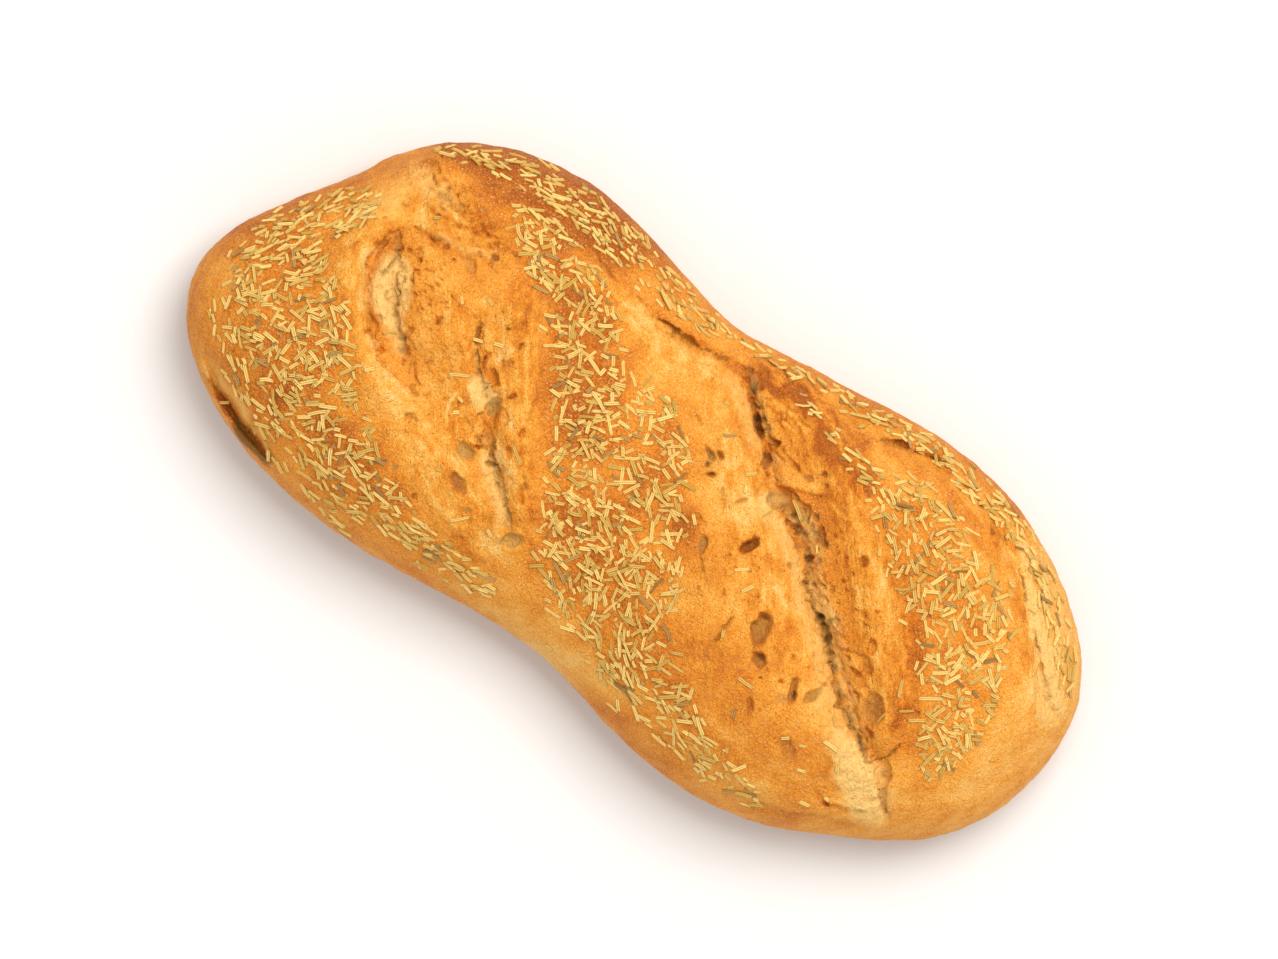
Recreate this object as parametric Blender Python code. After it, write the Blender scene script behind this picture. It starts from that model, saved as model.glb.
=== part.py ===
"""Rosemary loaf: one hearth-baked loaf with two torn slashes and dried rosemary needles baked onto its crust.

The loaf lies along X, a flat under its foot rests on Z = 0, and the origin is under the middle of its bounding box.
Every place and size below is in millimetres, drawn on a loaf of DRAWN_LENGTH; the meshes are written in metres.
"""

import math

import bmesh
import bpy
import numpy as np
from mathutils import Matrix, Vector
from mathutils.bvhtree import BVHTree

MM = 0.001

# Driving sizes of the real loaf, in millimetres.
LENGTH = 290.0
WIDTH = 134.0
HEIGHT = 60.0

# The drawing that every place below belongs to.
DRAWN_LENGTH = 290.0
DRAWN_WIDTH = 134.0
DRAWN_HEIGHT = 60.0

# Plan outline at the widest level of the side, counterclockwise from the right tip.
OUTLINE = (
    (145, 5), (141.5, 21.5), (129, 37.5), (111, 50.3), (90, 58.6), (64, 61.6), (38, 59.2), (14, 56.8), (-3, 55.4),
    (-22, 59.3), (-42, 64.6), (-62, 67), (-82, 64.3), (-100, 56.8), (-112, 45.8), (-122, 30), (-134, 13), (-143, -3),
    (-145.5, -17), (-140, -32), (-127, -44.2), (-108, -53.6), (-84, -59.3), (-58, -60.4), (-28, -58), (-6, -57),
    (14, -59.6), (36, -65), (58, -67.3), (82, -63.8), (104, -54.2), (122, -44.3), (135, -31), (143, -12.5),
)  # fmt: skip

# Side profile: the widest level, how far the foot is drawn in, and how the dome rises from the edge.
WIDEST_LEVEL = 17.0
FOOT_INSET = 11.0
FOOT_LEVEL = 0.8
DOME_REACH = 50.0
DOME_POWER = 2.3
WAIST_SAG = 4.0
WAIST_LENGTH = 32.0
WAIST_PLACE = 2.0
SOFT_DISTANCE_POWER = 4.0

# The flat that the loaf rests on, just under its foot: its corners, how far it lies in from the rim, how much wider
# it is on top, and how far that top reaches into the loaf.
FLAT_CORNERS = 8
FLAT_INSET = 22.0
FLAT_FLARE = 5.0
FLAT_SUNK = 0.6

# Furrows torn open by the slashes: points of the floor, reach to the left and right of it, depth.
FURROWS = {
    "right slash valley": (((0, 46), (14, 38), (28, 26), (45, 15), (60, 1), (78, -13), (92, -24), (108, -34)), 15, 9, 4.5),
    "right slash seam": (((-3, 45.5), (12, 39), (22, 32.5), (30, 24), (42, 17), (53, 9), (61, 0), (72, -8), (82, -16),
                          (92, -24), (103, -29), (113, -40)), 3.2, 3.2, 4.0),
    "right slash gutter": (((46, 37), (65, 29), (78, 19), (88, 8), (98, -6), (106, -22)), 4, 4, 2.6),
    "top crack": (((-28, 45.5), (-18, 43.8), (-9, 44), (0, 46.5)), 2.0, 2.6, 3.0),
    "top edge crack": (((51, 51.5), (58, 53), (66, 53), (74, 54.5)), 2.2, 2.0, 3.0),
    "end crack": (((84, 52), (97, 47), (107, 39.5), (113, 33)), 1.8, 1.8, 2.0),
    "end crack, low": (((118, 29), (125, 22), (131, 14), (141, 11)), 1.8, 2.2, 2.4),
    "left slash valley": (((-99, 36), (-98, 18), (-88, 2), (-72, -10), (-50, -16), (-30, -28)), 12, 10, 3.0),
    "left slash crescent": (((-100, 26), (-103.5, 17), (-101.5, 7), (-95.5, -1), (-88, -8), (-78, -12.5)), 4.5, 1.7, 4.6),
    "left slash pocket": (((-96, 20), (-93, 9), (-86, 0), (-79, -7), (-70, -13)), 4, 4, 3.4),
    "left slash seam": (((-69, 16), (-63, 8), (-57, 1), (-50, -5), (-45, -12), (-39, -19), (-31, -26), (-22, -35)),
                        3.4, 3.0, 4.2),
    "left slash top tear": (((-101, 42.5), (-92, 41), (-84, 39.5), (-76, 36.5), (-71, 31)), 3.4, 3.0, 2.6),
    "burst on the side": (((-129, -38), (-119, -45.3), (-109, -49.6), (-95, -53.4)), 3.6, 1.6, 9.0),
}  # fmt: skip

# Ridges of dough pushed up beside the slashes: points of the crest, half width, height.
RIDGES = {
    "right slash bank": (((12, 50), (32, 44), (50, 33), (65, 18), (80, 4), (93, -10), (101, -23)), 6.0, 3.4),
    "right slash plateau": (((16, 14), (32, -4), (52, -24), (72, -38), (88, -44)), 17.0, 3.0),
    "plateau rim": (((58, -53), (72, -55), (86, -53), (99, -47), (110, -42)), 3.0, 1.2),
    "end bulge": (((90, 47), (106, 33), (120, 18), (129, 2), (128, -14)), 8.0, 2.0),
    "left slash bank": (((-72, 33), (-58, 22), (-47, 6), (-38, -8), (-27, -24), (-20, -36)), 5.5, 3.0),
    "left slash rim": (((-106, 40), (-109, 22), (-107, 5), (-98, -8), (-84, -17), (-66, -24)), 6.0, 3.0),
    "left slash dome": (((-84, 22), (-78, 10), (-68, 0)), 10.0, 2.4),
    "left top rim": (((-113, 40), (-105, 47), (-95, 49.5)), 3.5, 2.0),
    "burst lip": (((-128, -42.5), (-118, -48), (-108, -52), (-96, -55)), 2.2, 1.6),
}  # fmt: skip

# Burst gas bubbles: x, y, half length, half width, turn in degrees, depth.
BUBBLES = (
    (15, 37, 6.5, 3.4, -42, 4.0), (29, 27, 4.5, 3.0, -30, 3.0), (37, 19.5, 5.5, 3.2, -15, 3.6),
    (53, 13, 4.5, 3.4, -60, 2.6), (35.5, 4, 3.4, 2.0, 75, 3.4), (51.5, -14.5, 5.6, 3.4, -75, 3.4),
    (56, -22, 2.8, 2.5, 0, 3.0), (70, -24, 3.8, 2.4, -70, 3.2), (75.5, -21, 5.0, 2.0, 75, 2.4),
    (93, -17, 5.6, 4.0, -50, 2.6), (77.5, -40, 4.6, 2.2, -30, 1.8), (12.5, 17, 4.6, 2.0, -70, 3.0),
    (23.5, -4.5, 3.4, 2.2, -70, 3.0), (-52, -2.5, 6.0, 3.0, -38, 3.0), (-49, -19.5, 3.6, 2.9, 10, 2.6),
    (-45, -28, 3.2, 1.8, -30, 2.2), (-24, -35, 3.6, 3.2, 20, 2.6), (-76, 26, 4.2, 2.0, -25, 2.0),
    (-103, 17.5, 2.8, 1.7, 65, 2.0),
)  # fmt: skip

# Where the needles were strewn: bands of x, y, half width.
NEEDLE_BANDS = (
    ((-112, 22, 7), (-123, 6, 13), (-119, -12, 18), (-104, -24, 17), (-88, -34, 13), (-66, -46, 10), (-42, -49.5, 6),
     (-22, -49, 3)),
    ((-64, 42, 8), (-46, 33, 14), (-34, 18, 16), (-24, 2, 14), (-12, -12, 17), (0, -26, 18), (16, -37, 15),
     (32, -46, 11), (52, -54, 7), (76, -57.5, 3)),
    ((-10, 20, 9), (0, 6, 12), (9, -8, 12), (18, -22, 10)),
    ((-100, 53, 3), (-82, 60, 4), (-60, 61, 4), (-42, 57, 6), (-26, 53, 6), (0, 52, 2), (20, 54, 2), (42, 56, 3),
     (62, 57, 3), (90, 53, 3), (108, 47, 4), (124, 36, 4), (134, 22, 4)),
    ((44, 41, 3), (60, 37, 4), (76, 33, 8), (92, 26, 11), (104, 16, 13), (112, 4, 11), (115, -7, 8), (117, -17, 5)),
)  # fmt: skip

# Needles big enough to be solid here. The finer ones are left to the dressed model.
NEEDLE_SPACING = 9.0
NEEDLE_JITTER = 3.0
NEEDLE_LENGTH = (5.5, 8.5)
NEEDLE_WIDTH = 1.7
NEEDLE_THICKNESS = 1.3
NEEDLE_SINK = 0.45
NEEDLE_SEED = 11
STEEPEST_FOR_NEEDLES = 0.45
MOST_NEEDLES = 190

# Fineness of the mesh before and after it is thinned out.
CELLS_LONG = 300
CELLS_WIDE = 144
SIDE_SHARE = 0.13
RIM_CROWDING = 0.3
BODY_FACES = 5900

SHARP_ANGLE = math.radians(50)
CRUST_COLOUR = (0.62, 0.27, 0.07, 1.0)
CRUST_ROUGHNESS = 0.7


def clear_scene():
    """Removes what the file opened with."""
    for old in list(bpy.data.objects):
        bpy.data.objects.remove(old)


def periodic_spline(knots, values, at):
    """Catmull-Rom through values at rising knots of a full turn, read at the angles at."""
    turn = 2 * math.pi
    knots = np.concatenate([knots[-2:] - turn, knots, knots[:2] + turn])
    values = np.concatenate([values[-2:], values, values[:2]])
    slope = np.gradient(values, knots)
    i = np.clip(np.searchsorted(knots, at, side="right") - 1, 0, len(knots) - 2)
    span = knots[i + 1] - knots[i]
    t = (at - knots[i]) / span
    rise = t * t * (3 - 2 * t)
    return (
        values[i] * (1 - rise)
        + values[i + 1] * rise
        + span * t * (1 - t) * ((1 - t) * slope[i] - t * slope[i + 1])
    )


def outline_at(turn):
    """Outline points at the angles turn of the ellipse that the drawing's length and width span."""
    half = np.array([DRAWN_LENGTH, DRAWN_WIDTH]) / 2
    points = np.array(OUTLINE, float) / half
    knots = np.mod(np.arctan2(points[:, 1], points[:, 0]), 2 * math.pi)
    order = np.argsort(knots)
    swell = np.hypot(points[:, 0], points[:, 1])
    turn = np.mod(turn, 2 * math.pi)
    scale = periodic_spline(knots[order], swell[order], turn)
    return np.stack([np.cos(turn), np.sin(turn)], axis=1) * half * scale[:, None]


def inward_at(turn):
    """Unit directions that point into the outline, square to it, at the given angles."""
    near = 1e-3
    tangent = outline_at(turn + near) - outline_at(turn - near)
    inner = np.stack([-tangent[:, 1], tangent[:, 0]], axis=1)
    return inner / np.linalg.norm(inner, axis=1)[:, None]


def soft_distance(points):
    """Distance from the outline, true near it and smooth along the middle of the loaf."""
    turn = np.linspace(0, 2 * math.pi, 400, endpoint=False)
    rim = outline_at(turn)
    following = np.roll(rim, -1, axis=0)
    power = SOFT_DISTANCE_POWER
    total, true = np.zeros(len(points)), np.full(len(points), 1e9)
    for place, after in zip(rim, following):
        length = np.hypot(*(after - place))
        way = (after - place) / length
        off = points - place
        passed = np.clip(off @ way, 0, length)
        gap = np.hypot(*(off - passed[:, None] * way).T)
        true = np.minimum(true, gap)
        total += length / np.maximum(gap, 0.3) ** power
    straight = math.sqrt(math.pi) * math.gamma((power - 1) / 2) / math.gamma(power / 2)
    soft = (total / straight) ** (-1 / (power - 1))
    inner = np.clip((true - 2) / 8, 0, 1)
    inner = inner * inner * (3 - 2 * inner)
    return true * (1 - inner) + soft * inner


def dome_height(points, distance):
    """Height of the plain, unslashed dome over plan points."""
    share = np.clip(distance / DOME_REACH, 0, 1)
    rise = np.sqrt(1 - (1 - share) ** DOME_POWER)
    sag = WAIST_SAG * np.exp(-(((points[:, 0] - WAIST_PLACE) / WAIST_LENGTH) ** 2))
    return WIDEST_LEVEL + (DRAWN_HEIGHT - 2 - sag - WIDEST_LEVEL) * rise


def beside_line(points, line):
    """For plan points: signed distance from a polyline, left side positive, and the share of its length passed."""
    line = np.array(line, float)
    lengths = np.linalg.norm(np.diff(line, axis=0), axis=1)
    start = np.concatenate([[0], np.cumsum(lengths)])
    best = np.full(len(points), 1e9)
    signed, along = np.zeros(len(points)), np.zeros(len(points))
    for i, length in enumerate(lengths):
        way = (line[i + 1] - line[i]) / length
        off = points - line[i]
        t = np.clip(off @ way, 0, length)
        gap = np.hypot(*(off - t[:, None] * way).T)
        side = np.sign(way[0] * off[:, 1] - way[1] * off[:, 0])
        nearer = gap < best
        best = np.where(nearer, gap, best)
        signed = np.where(nearer, gap * side, signed)
        along = np.where(nearer, (start[i] + t) / start[-1], along)
    return signed, along


def furrow_depth(points, line, left, right, depth):
    """A furrow whose two sides reach different distances, shallower and narrower at both ends."""
    off, along = beside_line(points, line)
    fade = np.sqrt(np.clip(np.minimum(along, 1 - along) / 0.3, 0, 1) + 1e-9)
    reach = np.where(off > 0, left, right) * (0.45 + 0.55 * fade)
    return depth * fade * np.exp(-((off / reach) ** 2) * 1.6)


def ridge_height(points, line, half_width, height):
    """A rounded ridge that fades at both ends."""
    off, along = beside_line(points, line)
    fade = np.clip(np.minimum(along, 1 - along) / 0.2, 0, 1)
    return height * fade * np.exp(-((off / half_width) ** 2))


def bubble_depth(points, x, y, half_length, half_width, turn, depth):
    """A burst bubble: a round-floored pit with a steep wall."""
    c, s = math.cos(math.radians(turn)), math.sin(math.radians(turn))
    dx, dy = points[:, 0] - x, points[:, 1] - y
    r = np.hypot((dx * c + dy * s) / half_length, (dy * c - dx * s) / half_width)
    return depth * np.exp(-(r**4) * 0.9)


def relief(points):
    """How far the crust stands above the plain dome at plan points."""
    total = np.zeros(len(points))
    for line, half_width, height in RIDGES.values():
        total += ridge_height(points, line, half_width, height)
    for line, left, right, depth in FURROWS.values():
        total -= furrow_depth(points, line, left, right, depth)
    for bubble in BUBBLES:
        total -= bubble_depth(points, *bubble)
    return total


def disc_grid():
    """A rectangular grid of points bent to fill the unit disc, with no pole: (rows, columns, 2)."""
    a, b = np.meshgrid(np.linspace(-1, 1, CELLS_LONG + 1), np.linspace(-1, 1, CELLS_WIDE + 1))
    return np.stack([a * np.sqrt(1 - b * b / 2), b * np.sqrt(1 - a * a / 2)], axis=-1)


def crowded_to_rim(share):
    """Share of the way from the crown to the rim, its steps shrinking to nothing where the side is upright."""
    left = 1 - share
    bend = RIM_CROWDING
    slowed = np.where(left < bend, left**2 / (2 * bend), left - bend / 2)
    return 1 - slowed / (1 - bend / 2)


def loaf_points():
    """The loaf's surface from the crown down the side to the edge of the foot, as (rows, columns, 3)."""
    disc = disc_grid().reshape(-1, 2)
    out = np.hypot(disc[:, 0], disc[:, 1])
    turn = np.arctan2(disc[:, 1], disc[:, 0])
    rim = outline_at(turn)
    crown = out < 1 - SIDE_SHARE
    inward = crowded_to_rim(np.clip(out / (1 - SIDE_SHARE), 0, 1))
    plan = rim * inward[:, None]
    distance = soft_distance(plan)
    height = dome_height(plan, np.where(crown, distance, 0))
    fade = np.clip(distance / 6, 0, 1) ** 0.5
    height = height + relief(plan) * fade

    # Below the widest level the side rolls under to the foot on a quarter ellipse.
    under = np.clip((out - (1 - SIDE_SHARE)) / SIDE_SHARE, 0, 1) * math.pi / 2
    side = rim + inward_at(turn) * (FOOT_INSET * (1 - np.cos(under)))[:, None]
    side_height = FOOT_LEVEL + (WIDEST_LEVEL - FOOT_LEVEL) * (1 - np.sin(under))
    plan = np.where(crown[:, None], plan, side)
    height = np.where(crown, height, side_height)
    points = np.column_stack([plan, height])
    return points.reshape(CELLS_WIDE + 1, CELLS_LONG + 1, 3)


def real_size(points):
    """Drawing to metres, moved so that the origin is under the middle of the bounding box."""
    flat = points.reshape(-1, 3)
    low, high = flat.min(axis=0), flat.max(axis=0)
    middle = np.array([(low[0] + high[0]) / 2, (low[1] + high[1]) / 2, 0])
    scale = np.array([LENGTH, WIDTH, HEIGHT]) / (high - np.array([low[0], low[1], 0]))
    return (points - middle) * scale * MM


def ring_of(rows, columns):
    """Index pairs round the border of the grid, counterclockwise."""
    bottom = [(0, c) for c in range(columns)]
    right = [(r, columns - 1) for r in range(1, rows)]
    top = [(rows - 1, c) for c in range(columns - 2, -1, -1)]
    left = [(r, 0) for r in range(rows - 2, 0, -1)]
    return bottom + right + top + left


def body_mesh():
    """The closed body of the loaf, down to its level foot."""
    points = real_size(loaf_points())
    rows, columns, _ = points.shape
    mesh = bmesh.new()
    grid = [[mesh.verts.new(points[r, c]) for c in range(columns)] for r in range(rows)]
    for r in range(rows - 1):
        for c in range(columns - 1):
            mesh.faces.new((grid[r][c], grid[r][c + 1], grid[r + 1][c + 1], grid[r + 1][c]))
    border = [grid[r][c] for r, c in ring_of(rows, columns)]
    mesh.faces.new(reversed(border))
    bmesh.ops.triangulate(mesh, faces=mesh.faces[:])
    made = bpy.data.meshes.new("rosemary_loaf")
    mesh.to_mesh(made)
    mesh.free()
    return made


def crust_material():
    """Golden brown baked crust."""
    made = bpy.data.materials.new("crust")
    made.use_nodes = True
    shader = made.node_tree.nodes["Principled BSDF"]
    shader.inputs["Base Color"].default_value = CRUST_COLOUR
    shader.inputs["Roughness"].default_value = CRUST_ROUGHNESS
    shader.inputs["Metallic"].default_value = 0.0
    return made


def apply_modifier(obj, modifier):
    """Makes a modifier's result the object's own mesh."""
    bpy.context.view_layer.objects.active = obj
    bpy.ops.object.modifier_apply(modifier=modifier.name)


def thin_out(obj):
    """Thins the mesh where the crust is smooth, and keeps its edges and pits."""
    thinner = obj.modifiers.new("thin", "DECIMATE")
    thinner.ratio = BODY_FACES / len(obj.data.polygons)
    apply_modifier(obj, thinner)


def strewn_places(rng):
    """Plan places in millimetres of the drawing, spread evenly over the bands on a jittered lattice."""
    xs = np.arange(-DRAWN_LENGTH / 2, DRAWN_LENGTH / 2, NEEDLE_SPACING)
    ys = np.arange(-DRAWN_WIDTH / 2, DRAWN_WIDTH / 2, NEEDLE_SPACING)
    lattice = np.array([(x + (j % 2) * NEEDLE_SPACING / 2, y) for j, y in enumerate(ys) for x in xs])
    lattice = lattice + rng.uniform(-NEEDLE_JITTER, NEEDLE_JITTER, lattice.shape)
    inside = np.zeros(len(lattice), bool)
    for band in NEEDLE_BANDS:
        band = np.array(band, float)
        off, along = beside_line(lattice, band[:, :2])
        steps = np.linalg.norm(np.diff(band[:, :2], axis=0), axis=1)
        passed = np.concatenate([[0], np.cumsum(steps)]) / steps.sum()
        inside |= np.abs(off) < np.interp(along, passed, band[:, 2])
    return lattice[inside & (soft_distance(lattice) > 1.5)]


def needle_mesh(length):
    """One broken needle: a bar with a blunt ridged back and slightly narrower ends."""
    half, width, thick = length / 2 * MM, NEEDLE_WIDTH / 2 * MM, NEEDLE_THICKNESS * MM
    section = ((-1, 0), (1, 0), (1, 0.55), (0.45, 1), (-0.45, 1), (-1, 0.55))
    mesh = bmesh.new()
    rings = []
    for place, narrow in ((-half, 0.75), (half, 0.85)):
        rings.append([mesh.verts.new((place, y * width * narrow, z * thick)) for y, z in section])
    mesh.faces.new(reversed(rings[0]))
    mesh.faces.new(rings[1])
    for i in range(len(section)):
        j = (i + 1) % len(section)
        mesh.faces.new((rings[0][i], rings[0][j], rings[1][j], rings[1][i]))
    bmesh.ops.recalc_face_normals(mesh, faces=mesh.faces[:])
    made = bpy.data.meshes.new("needle")
    mesh.to_mesh(made)
    mesh.free()
    return made


def strew_needles(body):
    """Needle objects in a collection, each lying in the crust that is under it."""
    rng = np.random.default_rng(NEEDLE_SEED)
    crust = BVHTree.FromObject(body, bpy.context.evaluated_depsgraph_get())
    needles = bpy.data.collections.new("needles")
    bpy.context.scene.collection.children.link(needles)
    places = strewn_places(rng)
    places = places[rng.permutation(len(places))[:MOST_NEEDLES]]
    scale = np.array([LENGTH / DRAWN_LENGTH, WIDTH / DRAWN_WIDTH]) * MM
    for x, y in places * scale:
        found, normal, _, _ = crust.ray_cast(Vector((x, y, 1.0)), Vector((0, 0, -1)))
        if found is None or normal.z < STEEPEST_FOR_NEEDLES:
            continue
        spin = Matrix.Rotation(rng.uniform(0, math.pi), 4, "Z")
        lean = normal.to_track_quat("Z", "Y").to_matrix().to_4x4()
        needle = bpy.data.objects.new("needle", needle_mesh(rng.uniform(*NEEDLE_LENGTH)))
        needle.matrix_world = Matrix.Translation(found - normal * NEEDLE_SINK * MM) @ lean @ spin
        needles.objects.link(needle)
    bpy.context.view_layer.update()
    return needles


def resting_flat():
    """The low many-cornered slab under the loaf: it flares upward and ends just inside the foot."""
    turn = (np.arange(FLAT_CORNERS) + 0.5) * 2 * math.pi / FLAT_CORNERS
    mesh = bmesh.new()
    rings = []
    for inset, level in ((FLAT_INSET, 0), (FLAT_INSET - FLAT_FLARE, FOOT_LEVEL + FLAT_SUNK)):
        plan = outline_at(turn) + inward_at(turn) * inset
        rings.append([mesh.verts.new((x * MM, y * MM, level * MM)) for x, y in plan])
    mesh.faces.new(reversed(rings[0]))
    mesh.faces.new(rings[1])
    for i in range(FLAT_CORNERS):
        j = (i + 1) % FLAT_CORNERS
        mesh.faces.new((rings[0][i], rings[0][j], rings[1][j], rings[1][i]))
    made = bpy.data.meshes.new("resting_flat")
    mesh.to_mesh(made)
    mesh.free()
    return bpy.data.objects.new("resting_flat", made)


def fuse(body, pieces):
    """Joins a collection of pieces to the body as one solid and removes the loose ones."""
    join = body.modifiers.new("fuse", "BOOLEAN")
    join.operation = "UNION"
    join.operand_type = "COLLECTION"
    join.collection = pieces
    join.solver = "EXACT"
    apply_modifier(body, join)
    for piece in list(pieces.objects):
        bpy.data.objects.remove(piece)
    bpy.data.collections.remove(pieces)


def drop_scraps(obj):
    """Keeps the largest connected shell: loose crumbs and sealed hollows go."""
    mesh = bmesh.new()
    mesh.from_mesh(obj.data)
    unseen = set(mesh.verts)
    shells = []
    while unseen:
        reached = {unseen.pop()}
        front = list(reached)
        while front:
            near = {edge.other_vert(vert) for vert in front for edge in vert.link_edges} - reached
            reached |= near
            front = list(near)
        unseen -= reached
        shells.append(reached)
    loaf = max(shells, key=len)
    bmesh.ops.delete(mesh, geom=[vert for vert in mesh.verts if vert not in loaf], context="VERTS")
    mesh.to_mesh(obj.data)
    mesh.free()


def main():
    """Builds the loaf."""
    clear_scene()
    body = bpy.data.objects.new("rosemary_loaf", body_mesh())
    bpy.context.scene.collection.objects.link(body)
    body.data.materials.append(crust_material())
    thin_out(body)
    pieces = strew_needles(body)
    pieces.objects.link(resting_flat())
    fuse(body, pieces)
    drop_scraps(body)
    body.data.shade_smooth()
    body.data.set_sharp_from_angle(angle=SHARP_ANGLE)


main()
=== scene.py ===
"""Looks of the rosemary loaf: torn and blistered crust, pale crumb in the slashes and strewn needles.

Places on the loaf are plan places in millimetres, X along it and Y across it, measured from its middle.
They are the places that the loaf's solid is drawn with.
A set of places is an array with one row for each.
"""

import logging
import math
from collections.abc import Iterator
from dataclasses import dataclass, field
from enum import Enum

import bpy
import numpy as np
from mathutils import Matrix, Vector
from mathutils.bvhtree import BVHTree


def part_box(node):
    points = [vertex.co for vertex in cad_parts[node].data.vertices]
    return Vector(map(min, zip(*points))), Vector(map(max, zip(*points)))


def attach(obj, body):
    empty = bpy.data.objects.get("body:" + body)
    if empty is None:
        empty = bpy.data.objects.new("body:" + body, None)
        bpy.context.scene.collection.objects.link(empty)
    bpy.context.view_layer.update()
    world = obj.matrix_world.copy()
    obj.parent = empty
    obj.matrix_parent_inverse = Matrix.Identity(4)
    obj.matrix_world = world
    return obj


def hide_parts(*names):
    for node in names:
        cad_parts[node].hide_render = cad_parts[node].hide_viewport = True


LOG = logging.getLogger("rosemary_loaf")
NODE = "rosemary_loaf"
BODY = "root"
MM = 0.001
TURN = 2 * math.pi

# Odd multipliers that stir lattice places into evenly spread random numbers.
STIRRERS = (374761393, 668265263, 974634777, 1274126177, 2246822519)
WHOLE = 0xFFFFFFFF
PART = 0xFFFFFF

# Layers of unevenness: height beside the layer before, shift between layers, and what brings the sum to 1.
LAYER_SHARE = 0.55
LAYER_SHIFT = 17.3
LAYERS_REACH = 1.4

Array = np.ndarray
Socket = bpy.types.NodeSocket
Pair = tuple[float, float]
Line = tuple[Pair, ...]
Colour = tuple[float, float, float]
Value = Socket | float | tuple[float, ...]

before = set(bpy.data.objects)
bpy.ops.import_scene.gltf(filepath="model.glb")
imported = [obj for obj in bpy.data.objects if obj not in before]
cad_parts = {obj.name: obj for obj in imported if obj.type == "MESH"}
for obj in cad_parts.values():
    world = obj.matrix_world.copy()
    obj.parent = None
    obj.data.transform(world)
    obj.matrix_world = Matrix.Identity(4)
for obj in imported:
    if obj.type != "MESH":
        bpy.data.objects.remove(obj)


def smooth_step(low: float, high: float, value: Array) -> Array:
    """0 below low, 1 above high, and an even S between them."""
    t = np.clip((value - low) / (high - low), 0, 1)
    return t * t * (3 - 2 * t)


def shuffled(ix: Array, iy: Array, seed: int) -> Array:
    """A fixed random number from 0 to 1 for each lattice point.

    Args:
        ix: lattice places along.
        iy: lattice places across.
        seed: which numbers.

    Returns:
        The numbers.
    """
    along, across, kind, first, second = STIRRERS
    h = (ix.astype(np.int64) * along + iy.astype(np.int64) * across + seed * kind) & WHOLE
    h = ((h ^ (h >> 13)) * first) & WHOLE
    h = ((h ^ (h >> 16)) * second) & WHOLE
    return ((h ^ (h >> 15)) & PART) / float(PART)


def swell(points: Array, wavelength: float, seed: int) -> Array:
    """Even random unevenness of one size.

    Args:
        points: plan places.
        wavelength: size of its hills in the units of the points.
        seed: which unevenness.

    Returns:
        Values from -1 to 1.
    """
    scaled = points / wavelength
    cell = np.floor(scaled).astype(np.int64)
    part = scaled - cell
    ease = part**3 * (part * (part * 6 - 15) + 10)
    x, y = cell[:, 0], cell[:, 1]
    low = shuffled(x, y, seed) * (1 - ease[:, 0]) + shuffled(x + 1, y, seed) * ease[:, 0]
    high = shuffled(x, y + 1, seed) * (1 - ease[:, 0]) + shuffled(x + 1, y + 1, seed) * ease[:, 0]
    return (low * (1 - ease[:, 1]) + high * ease[:, 1]) * 2 - 1


def rough(points: Array, wavelength: float, seed: int, layers: int = 3) -> Array:
    """Unevenness in layers, each half as wide and a little over half as high as the one before.

    Args:
        points: plan places.
        wavelength: size of the widest hills.
        seed: which unevenness.
        layers: how many layers.

    Returns:
        Values of about -1 to 1.
    """
    total = np.zeros(len(points))
    share, weight = 1.0, 0.0
    for layer in range(layers):
        total += share * swell(points + LAYER_SHIFT * layer, wavelength / 2**layer, seed + layer)
        weight += share
        share *= LAYER_SHARE
    return total / weight * LAYERS_REACH


def nearest_grain(points: Array, size: float, seed: int) -> Array:
    """Distance from the nearest of a field of scattered grains.

    Args:
        points: plan places.
        size: how far apart the grains lie.
        seed: which field.

    Returns:
        The distance in grain spacings.
    """
    scaled = points / size
    cell = np.floor(scaled).astype(np.int64)
    best = np.full(len(points), np.inf)
    for dx in (-1, 0, 1):
        for dy in (-1, 0, 1):
            x, y = cell[:, 0] + dx, cell[:, 1] + dy
            off_x = x + shuffled(x, y, seed) - scaled[:, 0]
            off_y = y + shuffled(x, y, seed + 1) - scaled[:, 1]
            best = np.minimum(best, np.hypot(off_x, off_y))
    return best


def measured(line: Line) -> tuple[Array, Array, Array]:
    """A line's corners, the length of each stretch between them and how far along it each corner lies.

    Args:
        line: the line's corners.

    Returns:
        The corners, the lengths and the distances passed at each corner.
    """
    corners = np.array(line, float)
    lengths = np.linalg.norm(np.diff(corners, axis=0), axis=1)
    return corners, lengths, np.concatenate([[0], np.cumsum(lengths)])


def beside_line(points: Array, line: Line) -> tuple[Array, Array, float]:
    """Where plan places lie along and beside a drawn line.

    Args:
        points: plan places.
        line: its corners.

    Returns:
        Distance from the line with its left side positive, share of the line passed, and the line's length.
    """
    corners, lengths, start = measured(line)
    best = np.full(len(points), np.inf)
    signed, along = np.zeros(len(points)), np.zeros(len(points))
    for i, length in enumerate(lengths):
        way = (corners[i + 1] - corners[i]) / length
        off = points - corners[i]
        passed = np.clip(off @ way, 0, length)
        gap = np.hypot(*(off - passed[:, None] * way).T)
        side = np.sign(way[0] * off[:, 1] - way[1] * off[:, 0])
        nearer = gap < best
        best = np.where(nearer, gap, best)
        signed = np.where(nearer, gap * side, signed)
        along = np.where(nearer, (start[i] + passed) / start[-1], along)
    return signed, along, float(start[-1])


class Tint(Enum):
    """What a place on the loaf looks like, beside its height."""

    TOAST = "toast"
    CRUMB = "crumb"
    # Olive grey: the grey skin of burst bubbles, and painted shade along seams, cracks and under torn edges.
    SKIN = "skin"
    # Dark brown deep in holes and cracks: partly scorched crust and partly painted shade.
    EMBER = "ember"
    TORN = "torn"


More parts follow.
